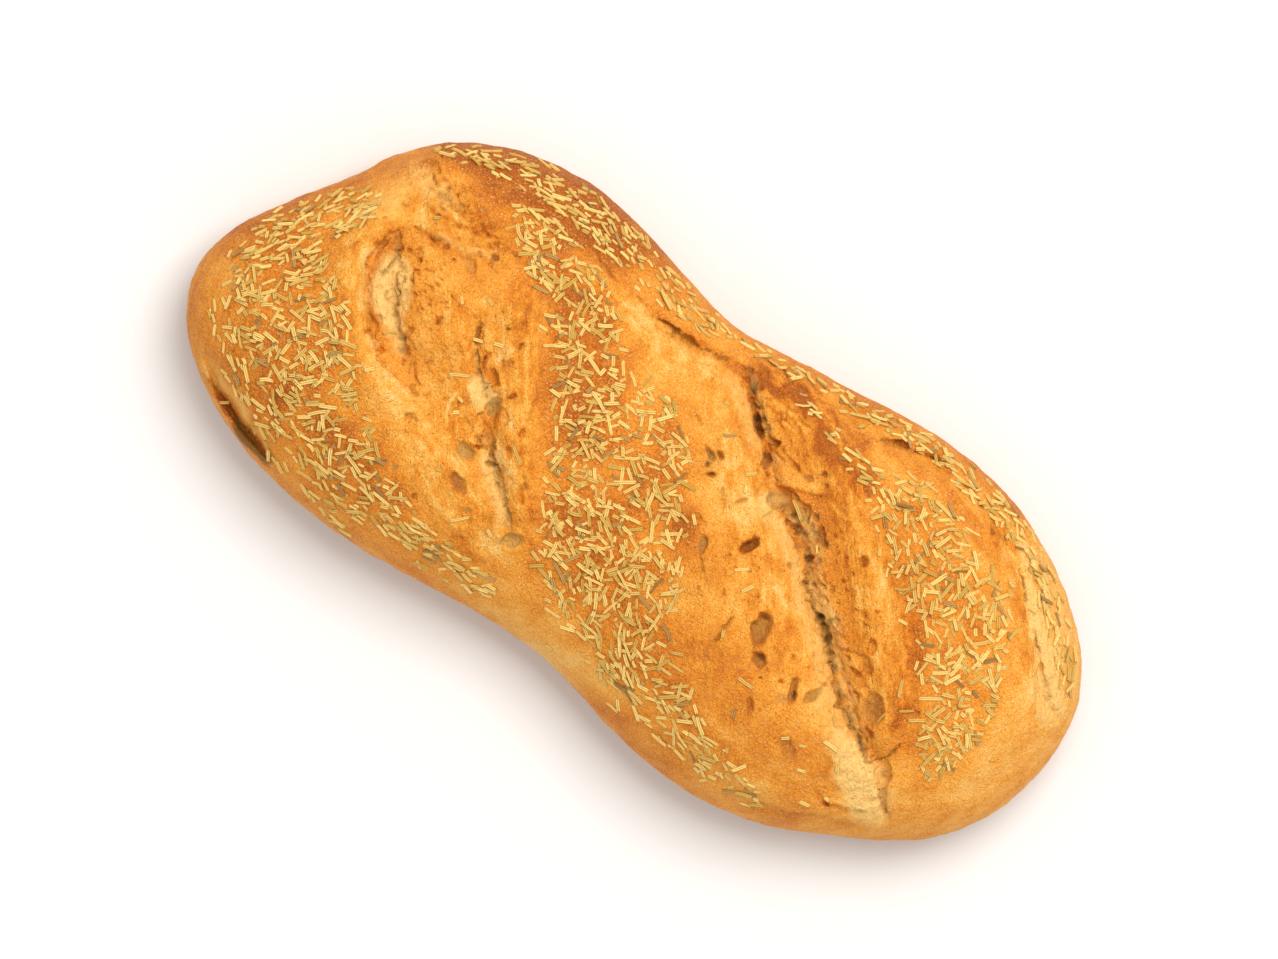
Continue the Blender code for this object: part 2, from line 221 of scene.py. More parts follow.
@dataclass
class Marks:
    """Height and tints gathered for a set of plan places, in millimetres and in shares."""

    rise: Array
    tints: dict[Tint, Array]

    @classmethod
    def blank(cls, count: int) -> "Marks":
        """Marks of a bare, evenly baked crust."""
        return cls(np.zeros(count), {tint: np.zeros(count) for tint in Tint})

    def add(self, near: Array, rise: Array) -> None:
        """Raises the places of the index array near."""
        self.rise[near] += rise

    def tint(self, kind: Tint, near: Array, share: Array) -> None:
        """Adds to one tint at the places of the index array near."""
        self.tints[kind][near] += share


def within(points: Array, line: Line, margin: float) -> Array:
    """Indices of the points that lie in the box round a line, grown by margin.

    Args:
        points: plan places.
        line: its corners.
        margin: how far round it.

    Returns:
        The indices.
    """
    corners = np.array(line, float)
    low, high = corners.min(axis=0) - margin, corners.max(axis=0) + margin
    return np.nonzero(((points > low) & (points < high)).all(axis=1))[0]


def in_oval(points: Array, middle: Pair, half: Pair, turn: float) -> Array:
    """Distance from an oval's middle, 1 at its edge.

    Args:
        points: plan places.
        middle: plan place of its middle.
        half: its half length and half width.
        turn: the way it lies, in degrees from X.

    Returns:
        The distances.
    """
    c, s = math.cos(math.radians(turn)), math.sin(math.radians(turn))
    dx, dy = points[:, 0] - middle[0], points[:, 1] - middle[1]
    return np.hypot((dx * c + dy * s) / half[0], (dy * c - dx * s) / half[1])


def along_line(line: Line, count: int, rng: np.random.Generator) -> Iterator[tuple[Array, Array]]:
    """Random places along a line, each in its own equal share of it.

    Args:
        line: the line's corners.
        count: how many places.
        rng: random source.

    Returns:
        Each plan place with the way the line runs there.
    """
    corners, lengths, start = measured(line)
    for share in (np.arange(count) + rng.uniform(0.1, 0.9, count)) / count:
        passed = share * start[-1]
        k = min(int(np.searchsorted(start, passed)), len(lengths)) - 1
        way = (corners[k + 1] - corners[k]) / lengths[k]
        yield corners[k] + way * (passed - start[k]), way


def end_fade(along: Array, share: float) -> Array:
    """1 along a line's middle, easing to 0 over a share of it at each end."""
    return np.sqrt(np.clip(np.minimum(along, 1 - along) / share, 0, 1))


@dataclass(frozen=True)
class Furrow:
    """A furrow that a slash has torn open, wider on one side than on the other."""

    line: Line
    left: float
    right: float
    depth: float

    def mark(self, points: Array, marks: Marks) -> None:
        """Sinks the furrow.

        Args:
            points: plan places.
            marks: gathers the result.
        """
        near = within(points, self.line, 2.2 * max(self.left, self.right))
        off, along, _ = beside_line(points[near], self.line)
        fade = end_fade(along, 0.3)
        reach = np.where(off > 0, self.left, self.right) * (0.45 + 0.55 * fade)
        marks.add(near, -self.depth * fade * np.exp(-((off / reach) ** 2) * 1.6))


@dataclass(frozen=True)
class Ridge:
    """A rounded ridge of dough pushed up beside a slash."""

    line: Line
    half_width: float
    height: float

    def mark(self, points: Array, marks: Marks) -> None:
        """Raises the ridge.

        Args:
            points: plan places.
            marks: gathers the result.
        """
        near = within(points, self.line, 3 * self.half_width)
        off, along, _ = beside_line(points[near], self.line)
        fade = np.clip(np.minimum(along, 1 - along) / 0.2, 0, 1)
        marks.add(near, self.height * fade * np.exp(-((off / self.half_width) ** 2)))


@dataclass(frozen=True)
class Bubble:
    """A burst gas bubble: a pit with a steep wall, a round floor and a faint rim."""

    x: float
    y: float
    half_length: float
    half_width: float
    turn: float
    depth: float
    # The floor's tints (olive grey, browning and a dark middle) are partly the crust's own colour and partly
    # painted shade in the pit.
    skin: float = 0.0
    toast: float = 0.3
    ember: float = 0.0
    wall: Pair = (0.62, 1.08)
    rim: float = 1.2
    rim_width: float = 0.16
    rim_share: float = 0.09

    def mark(self, points: Array, marks: Marks) -> None:
        """Sinks the pit and tints its floor, partly with painted shade.

        Args:
            points: plan places.
            marks: gathers the result.
        """
        middle = (self.x, self.y)
        near = within(points, (middle,), 1.7 * self.half_length)
        r = in_oval(points[near], middle, (self.half_length, self.half_width), self.turn)
        pit = 1 - smooth_step(*self.wall, r)
        marks.add(near, -self.depth * pit * (1 - 0.3 * r**2))
        marks.add(near, self.rim_share * self.depth * np.exp(-(((r - self.rim) / self.rim_width) ** 2)))
        marks.tint(Tint.TOAST, near, self.toast * (1 - smooth_step(0.75, 1.3, r)))
        marks.tint(Tint.SKIN, near, self.skin * (1 - smooth_step(0.7, 1.03, r)))
        marks.tint(Tint.EMBER, near, self.ember * (1 - smooth_step(0.2, 1.0, r)))


@dataclass(frozen=True)
class Crack:
    """A ragged crack with slightly lifted lips, darkened down its middle with painted shade and some scorch.
    """

    line: Line
    half_width: float
    depth: float
    lip: float = 0.15
    ember: float = 0.5
    ragged_size: float = 1.7
    steepness: float = 2.4
    lip_place: float = 1.9
    lip_width: float = 0.8

    def mark(self, points: Array, marks: Marks) -> None:
        """Opens the crack.

        Args:
            points: plan places.
            marks: gathers the result.
        """
        near = within(points, self.line, 6 * self.half_width + 1)
        off, along, length = beside_line(points[near], self.line)
        seed = int(abs(self.line[0][0] * 7 + self.line[0][1] * 13)) + 3
        ragged = swell(np.stack([along * length, np.zeros(len(near))], axis=1), self.ragged_size, seed)
        width = self.half_width * np.clip(0.75 + 0.75 * ragged, 0.12, None)
        width *= 0.3 + 0.7 * end_fade(along, 0.15)
        fade = end_fade(along, 0.08)
        gap = np.abs(off) / width
        core = np.exp(-(gap**self.steepness)) * fade
        marks.add(near, -self.depth * core * np.clip(0.8 + 0.4 * ragged, 0.2, 1.2))
        marks.add(near, self.lip * fade * np.exp(-(((gap - self.lip_place) / self.lip_width) ** 2)))
        # Painted shade with some scorch down the crack's middle.
        marks.tint(Tint.EMBER, near, self.ember * core)
        marks.tint(Tint.TOAST, near, 0.08 * fade * np.exp(-((gap / 2.6) ** 2)))


@dataclass(frozen=True)
class Lip:
    """A sharp torn edge: dough stands up on the left of the line and drops away on its right."""

    line: Line
    high: float
    high_reach: float
    low: float
    low_reach: float
    # Browning of the low side: painted shade under the standing edge.
    toast: float = 0.0
    crumb: float = 0.0
    edge_width: float = 0.32

    def mark(self, points: Array, marks: Marks) -> None:
        """Raises one side, drops the other and tints the low side, browning it there as painted shade.

        Args:
            points: plan places.
            marks: gathers the result.
        """
        near = within(points, self.line, 2.4 * max(self.high_reach, self.low_reach))
        off, along, _ = beside_line(points[near], self.line)
        fade = end_fade(along, 0.2)
        left = 0.5 + 0.5 * np.tanh(off / self.edge_width)
        stand = left * self.high * np.exp(-((off / self.high_reach) ** 2))
        drop = (1 - left) * np.exp(-((off / self.low_reach) ** 2))
        marks.add(near, fade * (stand - self.low * drop))
        # Painted shade below the edge.
        marks.tint(Tint.TOAST, near, fade * self.toast * drop)
        marks.tint(Tint.CRUMB, near, fade * self.crumb * drop)


@dataclass(frozen=True)
class Band:
    """A band along a line that takes a tint, reaching further on one side than on the other."""

    line: Line
    left: float
    right: float
    tint: Tint
    share: float

    def mark(self, points: Array, marks: Marks) -> None:
        """Tints the band.

        Args:
            points: plan places.
            marks: gathers the result.
        """
        near = within(points, self.line, 2 * max(self.left, self.right))
        off, along, _ = beside_line(points[near], self.line)
        reach = np.where(off > 0, self.left, self.right)
        inside = 1 - smooth_step(0.55, 1.25, np.abs(off) / reach)
        marks.tint(self.tint, near, self.share * end_fade(along, 0.15) * inside)


@dataclass(frozen=True)
class Patch:
    """A soft oval that takes a tint."""

    x: float
    y: float
    half_length: float
    half_width: float
    turn: float
    tint: Tint
    share: float
    edge: float = 0.8

    def mark(self, points: Array, marks: Marks) -> None:
        """Tints the oval.

        Args:
            points: plan places.
            marks: gathers the result.
        """
        middle = (self.x, self.y)
        near = within(points, (middle,), (1 + self.edge) * max(self.half_length, self.half_width))
        r = in_oval(points[near], middle, (self.half_length, self.half_width), self.turn)
        marks.tint(self.tint, near, self.share * (1 - smooth_step(1 - self.edge, 1 + self.edge, r)))


@dataclass(frozen=True)
class Fibres:
    """Stretched dough strands that run along a line."""

    line: Line
    left: float
    right: float
    height: float
    across: float = 1.3
    stretch: float = 7.0

    def mark(self, points: Array, marks: Marks) -> None:
        """Raises and sinks the strands.

        Args:
            points: plan places.
            marks: gathers the result.
        """
        near = within(points, self.line, 1.6 * max(self.left, self.right))
        off, along, length = beside_line(points[near], self.line)
        reach = np.where(off > 0, self.left, self.right)
        inside = (1 - smooth_step(0.6, 1.4, np.abs(off) / reach)) * end_fade(along, 0.12)
        strand = np.stack([along * length / self.stretch, off / self.across], axis=1)
        strand[:, 1] += 0.5 * swell(points[near], 9.0, 71)
        wave = rough(strand, 1.0, 73, layers=3)
        marks.add(near, self.height * inside * wave)
        marks.tint(Tint.TOAST, near, -0.22 * inside * wave)
        marks.tint(Tint.TORN, near, inside)


Feature = Furrow | Ridge | Bubble | Crack | Lip | Band | Patch | Fibres


def pores(
    line: Line, spread: float, count: int, size: Pair, seed: int, skin: float, ember: float
) -> list[Bubble]:
    """Small holes strewn along a line.

    Args:
        line: the line they keep to.
        spread: how far from it they stray.
        count: how many.
        size: smallest and largest half length.
        seed: which strewing.
        skin: share of olive grey on their floors, partly grey skin and partly painted shade.
        ember: share of darkness in them, partly scorch and partly painted shade.

    Returns:
        The holes.
    """
    rng = np.random.default_rng(seed)
    made = []
    for at, _ in along_line(line, count, rng):
        x, y = at + rng.normal(0, spread, 2)
        half = rng.uniform(*size)
        narrow = rng.uniform(0.45, 0.95)
        turn = rng.uniform(-80, 10)
        dark = ember * rng.uniform(0.1, 0.7)
        made.append(Bubble(x, y, half, half * narrow, turn, half * 1.1, skin, toast=0.2, ember=dark))
    return made


def torn_bits(line: Line, spread: float, count: int, seed: int, split_share: float = 0.4) -> list[Feature]:
    """Small lifted flakes and short splits strewn along a line, most of them lying along it.

    Args:
        line: the line they keep to.
        spread: how far from it they stray.
        count: how many.
        seed: which strewing.
        split_share: how many of them are splits.

    Returns:
        The flakes and the splits.
    """
    rng = np.random.default_rng(seed)
    made = []
    for place, way in along_line(line, count, rng):
        at = place + rng.normal(0, spread, 2)
        turn = math.atan2(way[1], way[0]) + rng.normal(0, 0.6) + math.pi * int(rng.integers(2))
        half = rng.uniform(0.9, 2.6) * np.array([math.cos(turn), math.sin(turn)])
        bow = rng.normal(0, 0.3) * np.array([-half[1], half[0]])
        bit = (tuple(at - half), tuple(at + bow), tuple(at + half))
        if rng.uniform() < split_share:
            half_width, depth, dark = rng.uniform(0.2, 0.42), rng.uniform(0.5, 1.0), rng.uniform(0.05, 0.3)
            made.append(Crack(bit, half_width, depth, ember=dark))
        else:
            high, low = rng.uniform(0.3, 0.7), rng.uniform(0.4, 0.9)
            made.append(Lip(bit, high, 1.6, low, 1.1, toast=0.05))
    return made


@dataclass
class LoafForm:
    """The loaf's plain dome over its plan outline, before anything tore, in millimetres."""

    length: float = 290.0
    width: float = 134.0
    height: float = 60.0
    widest_level: float = 17.0
    foot_inset: float = 11.0
    dome_reach: float = 50.0
    dome_power: float = 2.3
    crown_drop: float = 2.0
    waist_sag: float = 4.0
    waist_length: float = 32.0
    waist_place: float = 2.0
    distance_power: float = 4.0
    side_share: float = 0.13
    rim_crowding: float = 0.3
    rim_pieces: int = 300
    least_square: float = 0.09
    true_within: float = 2.0
    soft_beyond: float = 10.0
    outline: Line = (
        (145, 5), (141.5, 21.5), (129, 37.5), (111, 50.3), (90, 58.6), (64, 61.6), (38, 59.2), (14, 56.8),
        (-3, 55.4), (-22, 59.3), (-42, 64.6), (-62, 67), (-82, 64.3), (-100, 56.8), (-112, 45.8), (-122, 30),
        (-134, 13), (-143, -3), (-145.5, -17), (-140, -32), (-127, -44.2), (-108, -53.6), (-84, -59.3),
        (-58, -60.4), (-28, -58), (-6, -57), (14, -59.6), (36, -65), (58, -67.3), (82, -63.8), (104, -54.2),
        (122, -44.3), (135, -31), (143, -12.5),
    )

    def outline_at(self, turn: Array) -> Array:
        """Outline points at angles of the ellipse that the length and width span.

        Args:
            turn: angles in radians.

        Returns:
            One plan point for each angle.
        """
        half = np.array([self.length, self.width]) / 2
        drawn = np.array(self.outline, float) / half
        knots = np.mod(np.arctan2(drawn[:, 1], drawn[:, 0]), TURN)
        order = np.argsort(knots)
        knots, values = knots[order], np.hypot(drawn[:, 0], drawn[:, 1])[order]
        knots = np.concatenate([knots[-2:] - TURN, knots, knots[:2] + TURN])
        values = np.concatenate([values[-2:], values, values[:2]])
        slope = np.gradient(values, knots)
        at = np.mod(turn, TURN)
        i = np.clip(np.searchsorted(knots, at, side="right") - 1, 0, len(knots) - 2)
        span = knots[i + 1] - knots[i]
        t = (at - knots[i]) / span
        ease = t * t * (3 - 2 * t)
        bend = span * t * (1 - t) * ((1 - t) * slope[i] - t * slope[i + 1])
        scale = values[i] * (1 - ease) + values[i + 1] * ease + bend
        return np.stack([np.cos(turn), np.sin(turn)], axis=1) * half * scale[:, None]

    def distance(self, points: Array) -> Array:
        """Distance from the outline, true near it and smooth along the middle of the loaf.

        Args:
            points: plan places.

        Returns:
            The distances.
        """
        rim = self.outline_at(np.linspace(0, TURN, self.rim_pieces, endpoint=False))
        total, true = np.zeros(len(points)), np.full(len(points), np.inf)
        for place, after in zip(rim, np.roll(rim, -1, axis=0)):
            length = math.hypot(*(after - place))
            way = (after - place) / length
            dx, dy = points[:, 0] - place[0], points[:, 1] - place[1]
            passed = np.clip(dx * way[0] + dy * way[1], 0, length)
            square = (dx - passed * way[0]) ** 2 + (dy - passed * way[1]) ** 2
            true = np.minimum(true, square)
            total += length / np.maximum(square, self.least_square) ** (self.distance_power / 2)
        true = np.sqrt(true)
        power = self.distance_power
        straight = math.sqrt(math.pi) * math.gamma((power - 1) / 2) / math.gamma(power / 2)
        soft = (total / straight) ** (-1 / (power - 1))
        inner = smooth_step(self.true_within, self.soft_beyond, true)
        return true * (1 - inner) + soft * inner

    def dome(self, points: Array, distance: Array) -> Array:
        """Height of the plain dome.

        Args:
            points: plan places.
            distance: their distance from the outline.

        Returns:
            The heights.
        """
        share = np.clip(distance / self.dome_reach, 0, 1)
        rise = np.sqrt(1 - (1 - share) ** self.dome_power)
        sag = self.waist_sag * np.exp(-(((points[:, 0] - self.waist_place) / self.waist_length) ** 2))
        return self.widest_level + (self.height - self.crown_drop - sag - self.widest_level) * rise

    def crowded(self, share: Array) -> Array:
        """Share of the way out from the crown, its steps shrinking where the side is upright.

        Args:
            share: even shares of the way.

        Returns:
            The shares to use.
        """
        left = 1 - share
        bend = self.rim_crowding
        slowed = np.where(left < bend, left**2 / (2 * bend), left - bend / 2)
        return 1 - slowed / (1 - bend / 2)


@dataclass(frozen=True)
class RightSlash:
    """The long slash of the rounder end: a stretched plateau, a seam of torn crumb and a browned bank."""

    seam: Line = (
        (52, 11), (55, 7), (57, 4), (61, 0), (64, -2), (68, -5), (71, -7), (75, -12), (78, -15), (81, -17.5),
        (84, -21), (88, -22), (92, -25), (95, -28), (99, -29),
    )
    bank: Line = ((12, 50), (32, 44), (50, 33), (65, 18), (80, 4), (93, -10), (101, -23))
    slot: Line = ((29, 23.5), (26, 25), (24, 29), (20, 31.5), (14, 36), (10, 41), (5, 44), (0, 45))
    # Place, half length, half width, turn and depth, then the shares of grey skin, browning and dark scorch
    # on its floor, partly painted shade.
    bubbles: tuple[tuple[float, ...], ...] = (
        (18.6, 34.4, 4.2, 1.7, -40, 4.6, 0.5, 0.3, 0.75), (15.6, 37.7, 0.95, 0.7, -30, 1.6, 0, 0.3, 1),
        (25.3, 32.5, 1.7, 1.1, 65, 2.4, 0.3, 0.3, 0.55), (11.8, 41.6, 2.2, 1.2, -30, 1.6, 0.5, 0.3, 0.3),
        (13.7, 43.8, 1, 0.8, -60, 0.7, 0, 0.6, 0), (26.6, 26.4, 2.9, 1.6, -55, 2.2, 0.5, 0.3, 0.1),
        (28.6, 24, 1, 0.6, 0, 1, 0, 0.3, 0.5), (36.3, 18.9, 4.4, 2.8, 10, 2, 0.55, -0.1, 0),
        (38.3, 17.5, 1.2, 0.6, -10, 0.8, 0, 0.3, 0.6), (43.2, 20.2, 3.4, 2.2, -30, 1.3, 0.5, 0.1, 0),
        (42.2, 15.3, 1.6, 0.9, 5, 1.8, 0, 0.3, 1), (45.2, 14.3, 0.75, 0.5, -20, 1, 0, 0.3, 0.8),
        (51.8, 10.4, 1.7, 0.9, -35, 1.6, 0.4, 0.3, 0.6), (51.5, 17.8, 2, 1.2, -40, 1.2, 0, 0.45, 0.3),
        (42.7, 33, 1.3, 0.8, -60, 1.3, 0, 0.3, 0.8), (44.6, 30.8, 1.4, 0.5, -50, 0.9, 0.5, 0.3, 0.25),
        (39.8, 30, 1.6, 1.2, 0, 0.6, 0.3, 0.3, 0), (56.3, 4.2, 1, 0.8, 0, 1.2, 0.3, 0.3, 0.7),
        (64.3, -1.9, 1.9, 0.8, -15, 1.5, 0.3, 0.3, 0.9), (66.7, -3.6, 0.6, 0.5, 0, 0.9, 0, 0.3, 0.9),
        (70.3, -6.4, 1.8, 1, -45, 1.6, 0.3, 0.3, 0.85), (76.2, -12.8, 2, 0.7, -40, 1.2, 0.3, 0.3, 0.7),
        (80.3, -17.3, 2.7, 1.8, -40, 1.6, 0.75, 0.05, 0), (79.9, -16.9, 0.8, 0.5, -40, 0.9, 0, 0.3, 0.9),
        (81.4, -18.5, 0.9, 0.5, -20, 0.7, 0, 0.3, 0.6), (75.7, -23.4, 3.7, 1.3, 72, 1.8, 0.6, 0.1, 0.3),
        (76.4, -18.8, 1.2, 0.8, 60, 0.9, 0.4, 0.3, 0.3), (82.3, -21.6, 0.8, 0.6, 0, 0.8, 0.3, 0.3, 0.5),
        (88.7, -21.9, 1.4, 0.8, -20, 1.2, 0.4, 0.3, 0.5), (65.7, 17.6, 2, 1.5, -60, 1.7, 0, 0.45, 0.35),
        (67.6, 8, 1.7, 1.3, 0, 0.6, 0, 0.25, 0), (73.5, 4.8, 1.5, 1.3, 30, 0.5, 0, 0.25, 0),
        (77.3, 7.3, 0.8, 0.6, 0, 0.5, 0, 0.5, 0), (81.5, -1, 2.6, 1.5, -70, 1.2, 0, 0.4, 0),
        (83.5, -6.6, 3.3, 2.1, -50, 0.8, 0.2, 0.25, 0), (82.5, -10.2, 2.2, 1.1, 0, 0.7, 0, 0.45, 0.1),
        (92.3, -16.4, 5, 3.2, -55, 2.6, 0.45, 0.2, 0.1), (95.6, -22, 2.3, 0.8, -10, 0.6, 0, 0.45, 0),
        (35.4, 3.6, 3.1, 1.8, 75, 3, 0, 0.5, 0.5), (11.9, 19.6, 2.1, 1.1, -20, 1.4, 0.5, 0.3, 0.4),
        (12.3, 16.5, 1.4, 0.8, 80, 1.6, 0.2, 0.3, 0.85), (14.3, 13.9, 1.2, 0.95, 0, 1.6, 0, 0.3, 1),
        (14.2, 21.2, 1.7, 0.7, -40, 1.2, 0, 0.3, 0.8), (23.4, -4.6, 3.2, 1.8, -60, 2.4, 0.8, 0.1, 0),
        (52, -14.2, 5.4, 3, -78, 3.4, 0.5, 0.2, 0.3), (50.6, -10.6, 1.8, 1.1, 0, 0.9, 0, 0.3, 0.4),
        (56.6, -22.2, 2.6, 2.1, -40, 2.2, 0.4, 0.25, 0.15), (56.9, -21.3, 1.2, 0.9, -30, 0.9, 0, 0.3, 0.7),
        (70, -24.7, 3.8, 1.7, -80, 2.6, 0.5, 0.2, 0.25), (70.9, -25.3, 1.4, 0.6, 80, 0.9, 0, 0.3, 0.9),
        (67.6, -28, 2, 1.1, 0, 0.5, 0.45, 0.1, 0), (61.4, -35, 2.6, 1.1, -60, 1, 0.15, 0.35, 0),
        (77.8, -39.8, 4.2, 1.6, -30, 1.1, 0.35, 0.2, 0), (65.3, -24.4, 0.9, 0.6, 0, 0.5, 0, 0.5, 0),
        (59, -26.5, 0.5, 0.5, 0, 0.6, 0, 0.3, 0.8), (96.3, -46, 1.4, 0.7, 0, 0.9, 0, 0.5, 0),
        (106.5, -43.3, 2, 0.6, 25, 0.7, 0.3, 0.3, 0),
    )

    def form(self) -> list[Feature]:
        """The slash's main forms.

        Returns:
            The furrows and ridges.
        """
        valley = ((0, 46), (14, 38), (28, 26), (45, 15), (60, 1), (78, -13), (92, -24), (108, -34))
        floor = (
            (-3, 45.5), (12, 39), (22, 32.5), (30, 24), (42, 17), (53, 9), (61, 0), (72, -8), (82, -16),
            (92, -24), (103, -29), (113, -40),
        )
        return [
            Furrow(valley, 15, 9, 4.5),
            Furrow(floor, 3.2, 3.2, 4.0),
            Furrow(((46, 37), (65, 29), (78, 19), (88, 8), (98, -6), (106, -22)), 4, 4, 2.6),
            Ridge(self.bank, 6.0, 3.4),
            Ridge(((16, 14), (32, -4), (52, -24), (72, -38), (88, -44)), 17.0, 3.0),
            Ridge(((58, -53), (72, -55), (86, -53), (99, -47), (110, -42)), 3.0, 1.2),
            Ridge(((90, 47), (106, 33), (120, 18), (129, 2), (128, -14)), 8.0, 2.0),
        ]

    def edges(self) -> list[Feature]:
        """Torn edges, cracks and stretched strands."""
        return [
            Lip(self.slot, 0.9, 3.5, 1.6, 1.8, toast=0.1),
            Lip(((34, 23.6), (40, 25.6), (46, 28.4)), 0.7, 2.5, 0.9, 3.0, toast=0.25),
            Lip(((29, 22), (34, 22.8), (38, 23.3), (43, 23.3), (46, 21.2)), 0.6, 1.6, 1.2, 2.2, toast=0.1),
            Lip(((30, 16.3), (28, 18), (28, 21.5)), 0.6, 2.0, 0.8, 1.6),
            Lip(((48, 12.5), (45, 14.5), (40, 16.2), (35, 15.8), (30, 16.3)), 0.5, 2.5, 0.9, 1.5, crumb=0.3),
            Lip(((104.6, -27), (107, -29.5), (109.5, -33), (111.3, -36.5), (115, -41.3)), 0.9, 3.5, 1.5, 2.4),
            Lip(((80, -57.5), (88, -55), (95, -51), (103, -47.5), (112, -43)), 0.5, 3.0, 0.4, 2.5, toast=0.2),
            Lip(
                ((91, -45.3), (96, -46), (101, -45), (106, -43.6), (111, -41.6)),
                0.5, 2.0, 0.6, 1.2, toast=0.35,
            ),
            Crack(self.seam, 0.55, 1.5, 0.1, 0.7),
            Crack(
                ((97.5, -31), (99.5, -29.5), (101, -28.3), (104, -26.6), (104.7, -24), (104.9, -21)),
                0.5, 1.3, 0.2, 0.5,
            ),
            Crack(((9, 51.3), (14, 51.8), (17, 51), (20, 50)), 0.35, 0.9, 0.2, 0.5),
            Crack(((23.5, -6), (26, -7.5), (29, -10)), 0.35, 0.9, 0.15, 0.5),
            Crack(((17, 3.5), (19, 2), (21.5, 0.8)), 0.3, 0.7, 0.15, 0.35),
            Crack(((43, -15.5), (42, -18), (42, -21), (42.5, -27)), 0.3, 0.8, 0.15, 0.45),
            Crack(((30, -14.5), (32.5, -16.5)), 0.4, 0.7, 0.1, 0.5),
            Crack(((19.5, 13.5), (22, 11), (24, 9)), 0.35, 0.6, 0.1, 0.25),
            Crack(((28, 14), (27, 12), (25.5, 10.5)), 0.4, 0.9, 0.1, 0.4),
            Crack(((27.5, 32.5), (31, 31), (37, 30.8)), 0.3, 0.6, 0.15, 0.3),
            Crack(((75.5, -7.5), (80, -5.2)), 0.3, 0.5, 0.1, 0.3),
            Crack(((45, 28), (44.5, 25.5)), 0.3, 0.5, 0.1, 0.3),
            Crack(((1, 27.5), (3, 26.5), (5, 26)), 0.35, 0.5, 0.1, 0.25),
            *torn_bits(self.seam, 2.0, 36, 31, split_share=0.2),
            *torn_bits(((20, 30), (30, 20), (42, 16), (52, 10)), 2.6, 20, 32, split_share=0.2),
            *torn_bits(((6, 46), (16, 42), (26, 36), (34, 30)), 2.2, 16, 33, split_share=0.25),
            *torn_bits(self.bank, 4.5, 12, 35, split_share=0.3),
            Fibres(self.bank, 9, 7, 0.17),
            Fibres(((6, 40), (20, 24), (32, 8), (50, -6), (70, -20)), 6, 7, 0.12, across=1.6),
            Fibres(((88, -30), (97, -36), (108, -40)), 7, 6, 0.16, across=1.0),
            Fibres(((4, 48), (12, 46), (22, 42), (34, 38)), 4, 4, 0.35, across=1.0, stretch=4.0),
        ]

    def holes(self) -> list[Feature]:
        """Burst bubbles and small holes."""
        return [
            *(Bubble(*row) for row in self.bubbles),
            *pores(self.seam, 0.6, 34, (0.45, 1.1), 5, 0.35, 0.8),
            *pores(((84, -20), (90, -24), (98, -28)), 1.2, 22, (0.4, 0.9), 6, 0.45, 0.25),
            *pores(((106, -31), (110, -36), (113, -40)), 0.8, 9, (0.35, 0.7), 7, 0.3, 0.3),
            *pores(((33, 20), (44, 18), (50, 15), (56, 9)), 2.2, 34, (0.5, 1.3), 8, 0.5, 0.3),
            *pores(((57, 8), (66, 0), (76, -8), (86, -17)), 1.4, 30, (0.4, 1.0), 12, 0.4, 0.3),
            *pores(((8, 45), (14, 40), (22, 34)), 1.6, 16, (0.5, 1.2), 9, 0.4, 0.5),
            *pores(((34, 2), (50, -12), (66, -18), (80, -26)), 5.0, 60, (0.25, 0.6), 10, 0.1, 0.35),
            *pores(((52, 22), (66, 10), (80, -4)), 3.5, 30, (0.3, 0.8), 11, 0.0, 0.2),
        ]

    def tints(self) -> list[Feature]:
        """Pale crumb, grey skins, browning, and olive painted shade along the seam and the cracks."""
        return [
            Patch(102.5, -37, 12.5, 6.4, -32, Tint.CRUMB, 0.95, 0.5),
            Patch(46, -22, 36, 15, -38, Tint.TORN, 0.5, 0.6),
            Patch(90, -31, 6, 4.5, -30, Tint.CRUMB, 0.45, 0.6),
            Band(((56, 4), (64, -4), (72, -11), (80, -20), (90, -27)), 1.2, 5.0, Tint.CRUMB, 0.34),
            Band(((30, 16), (40, 14), (50, 8), (56, 3)), 1.0, 4.5, Tint.CRUMB, 0.45),
            Band(((2, 43), (10, 39), (16, 33), (24, 27)), 1.2, 3.0, Tint.CRUMB, 0.35),
            Band(((5, 45.5), (10, 44), (15, 39.5), (20, 35.5), (24, 32)), 2.4, 0.8, Tint.SKIN, 0.4),
            Band(((105, -29), (109, -34), (111.5, -39)), 0.8, 1.6, Tint.SKIN, 0.3),
            Band(((84, -19.5), (90, -24), (97, -28)), 1.2, 1.8, Tint.SKIN, 0.35),
            Band(((30, 17.5), (38, 19), (46, 17), (54, 9.5), (62, 1.5), (70, -4)), 3.6, 1.5, Tint.CRUMB, 0.4),
            Band(((62, 1.5), (70, -4.5), (78, -12), (86, -19), (96, -26)), 2.4, 0.8, Tint.CRUMB, 0.36),
            Band(
                ((52, 11), (57, 4.5), (64, -2), (71, -7), (78, -14.5), (86, -21), (96, -28)),
                1.6, 1.2, Tint.SKIN, 0.34,
            ),
            Patch(49.5, 15, 6, 4, -40, Tint.SKIN, 0.24, 0.6),
            Patch(64.2, -2.2, 4.0, 1.9, -20, Tint.SKIN, 0.35, 0.6),
            Patch(70.8, -7.3, 4.4, 1.9, -45, Tint.SKIN, 0.35, 0.6),
            Patch(75.2, -11.6, 3.0, 1.5, -30, Tint.SKIN, 0.45, 0.6),
            Patch(13, 17.8, 2.4, 3.4, 0, Tint.SKIN, 0.35, 0.6),
            Patch(32, 17.4, 3.0, 1.5, 10, Tint.CRUMB, 0.5, 0.5),
            Patch(28.5, 27.6, 2.6, 2.0, 0, Tint.CRUMB, 0.35, 0.6),
            Band(((97.5, -30), (98, -33), (97, -37)), 1.0, 1.0, Tint.TOAST, 0.5),
        ]


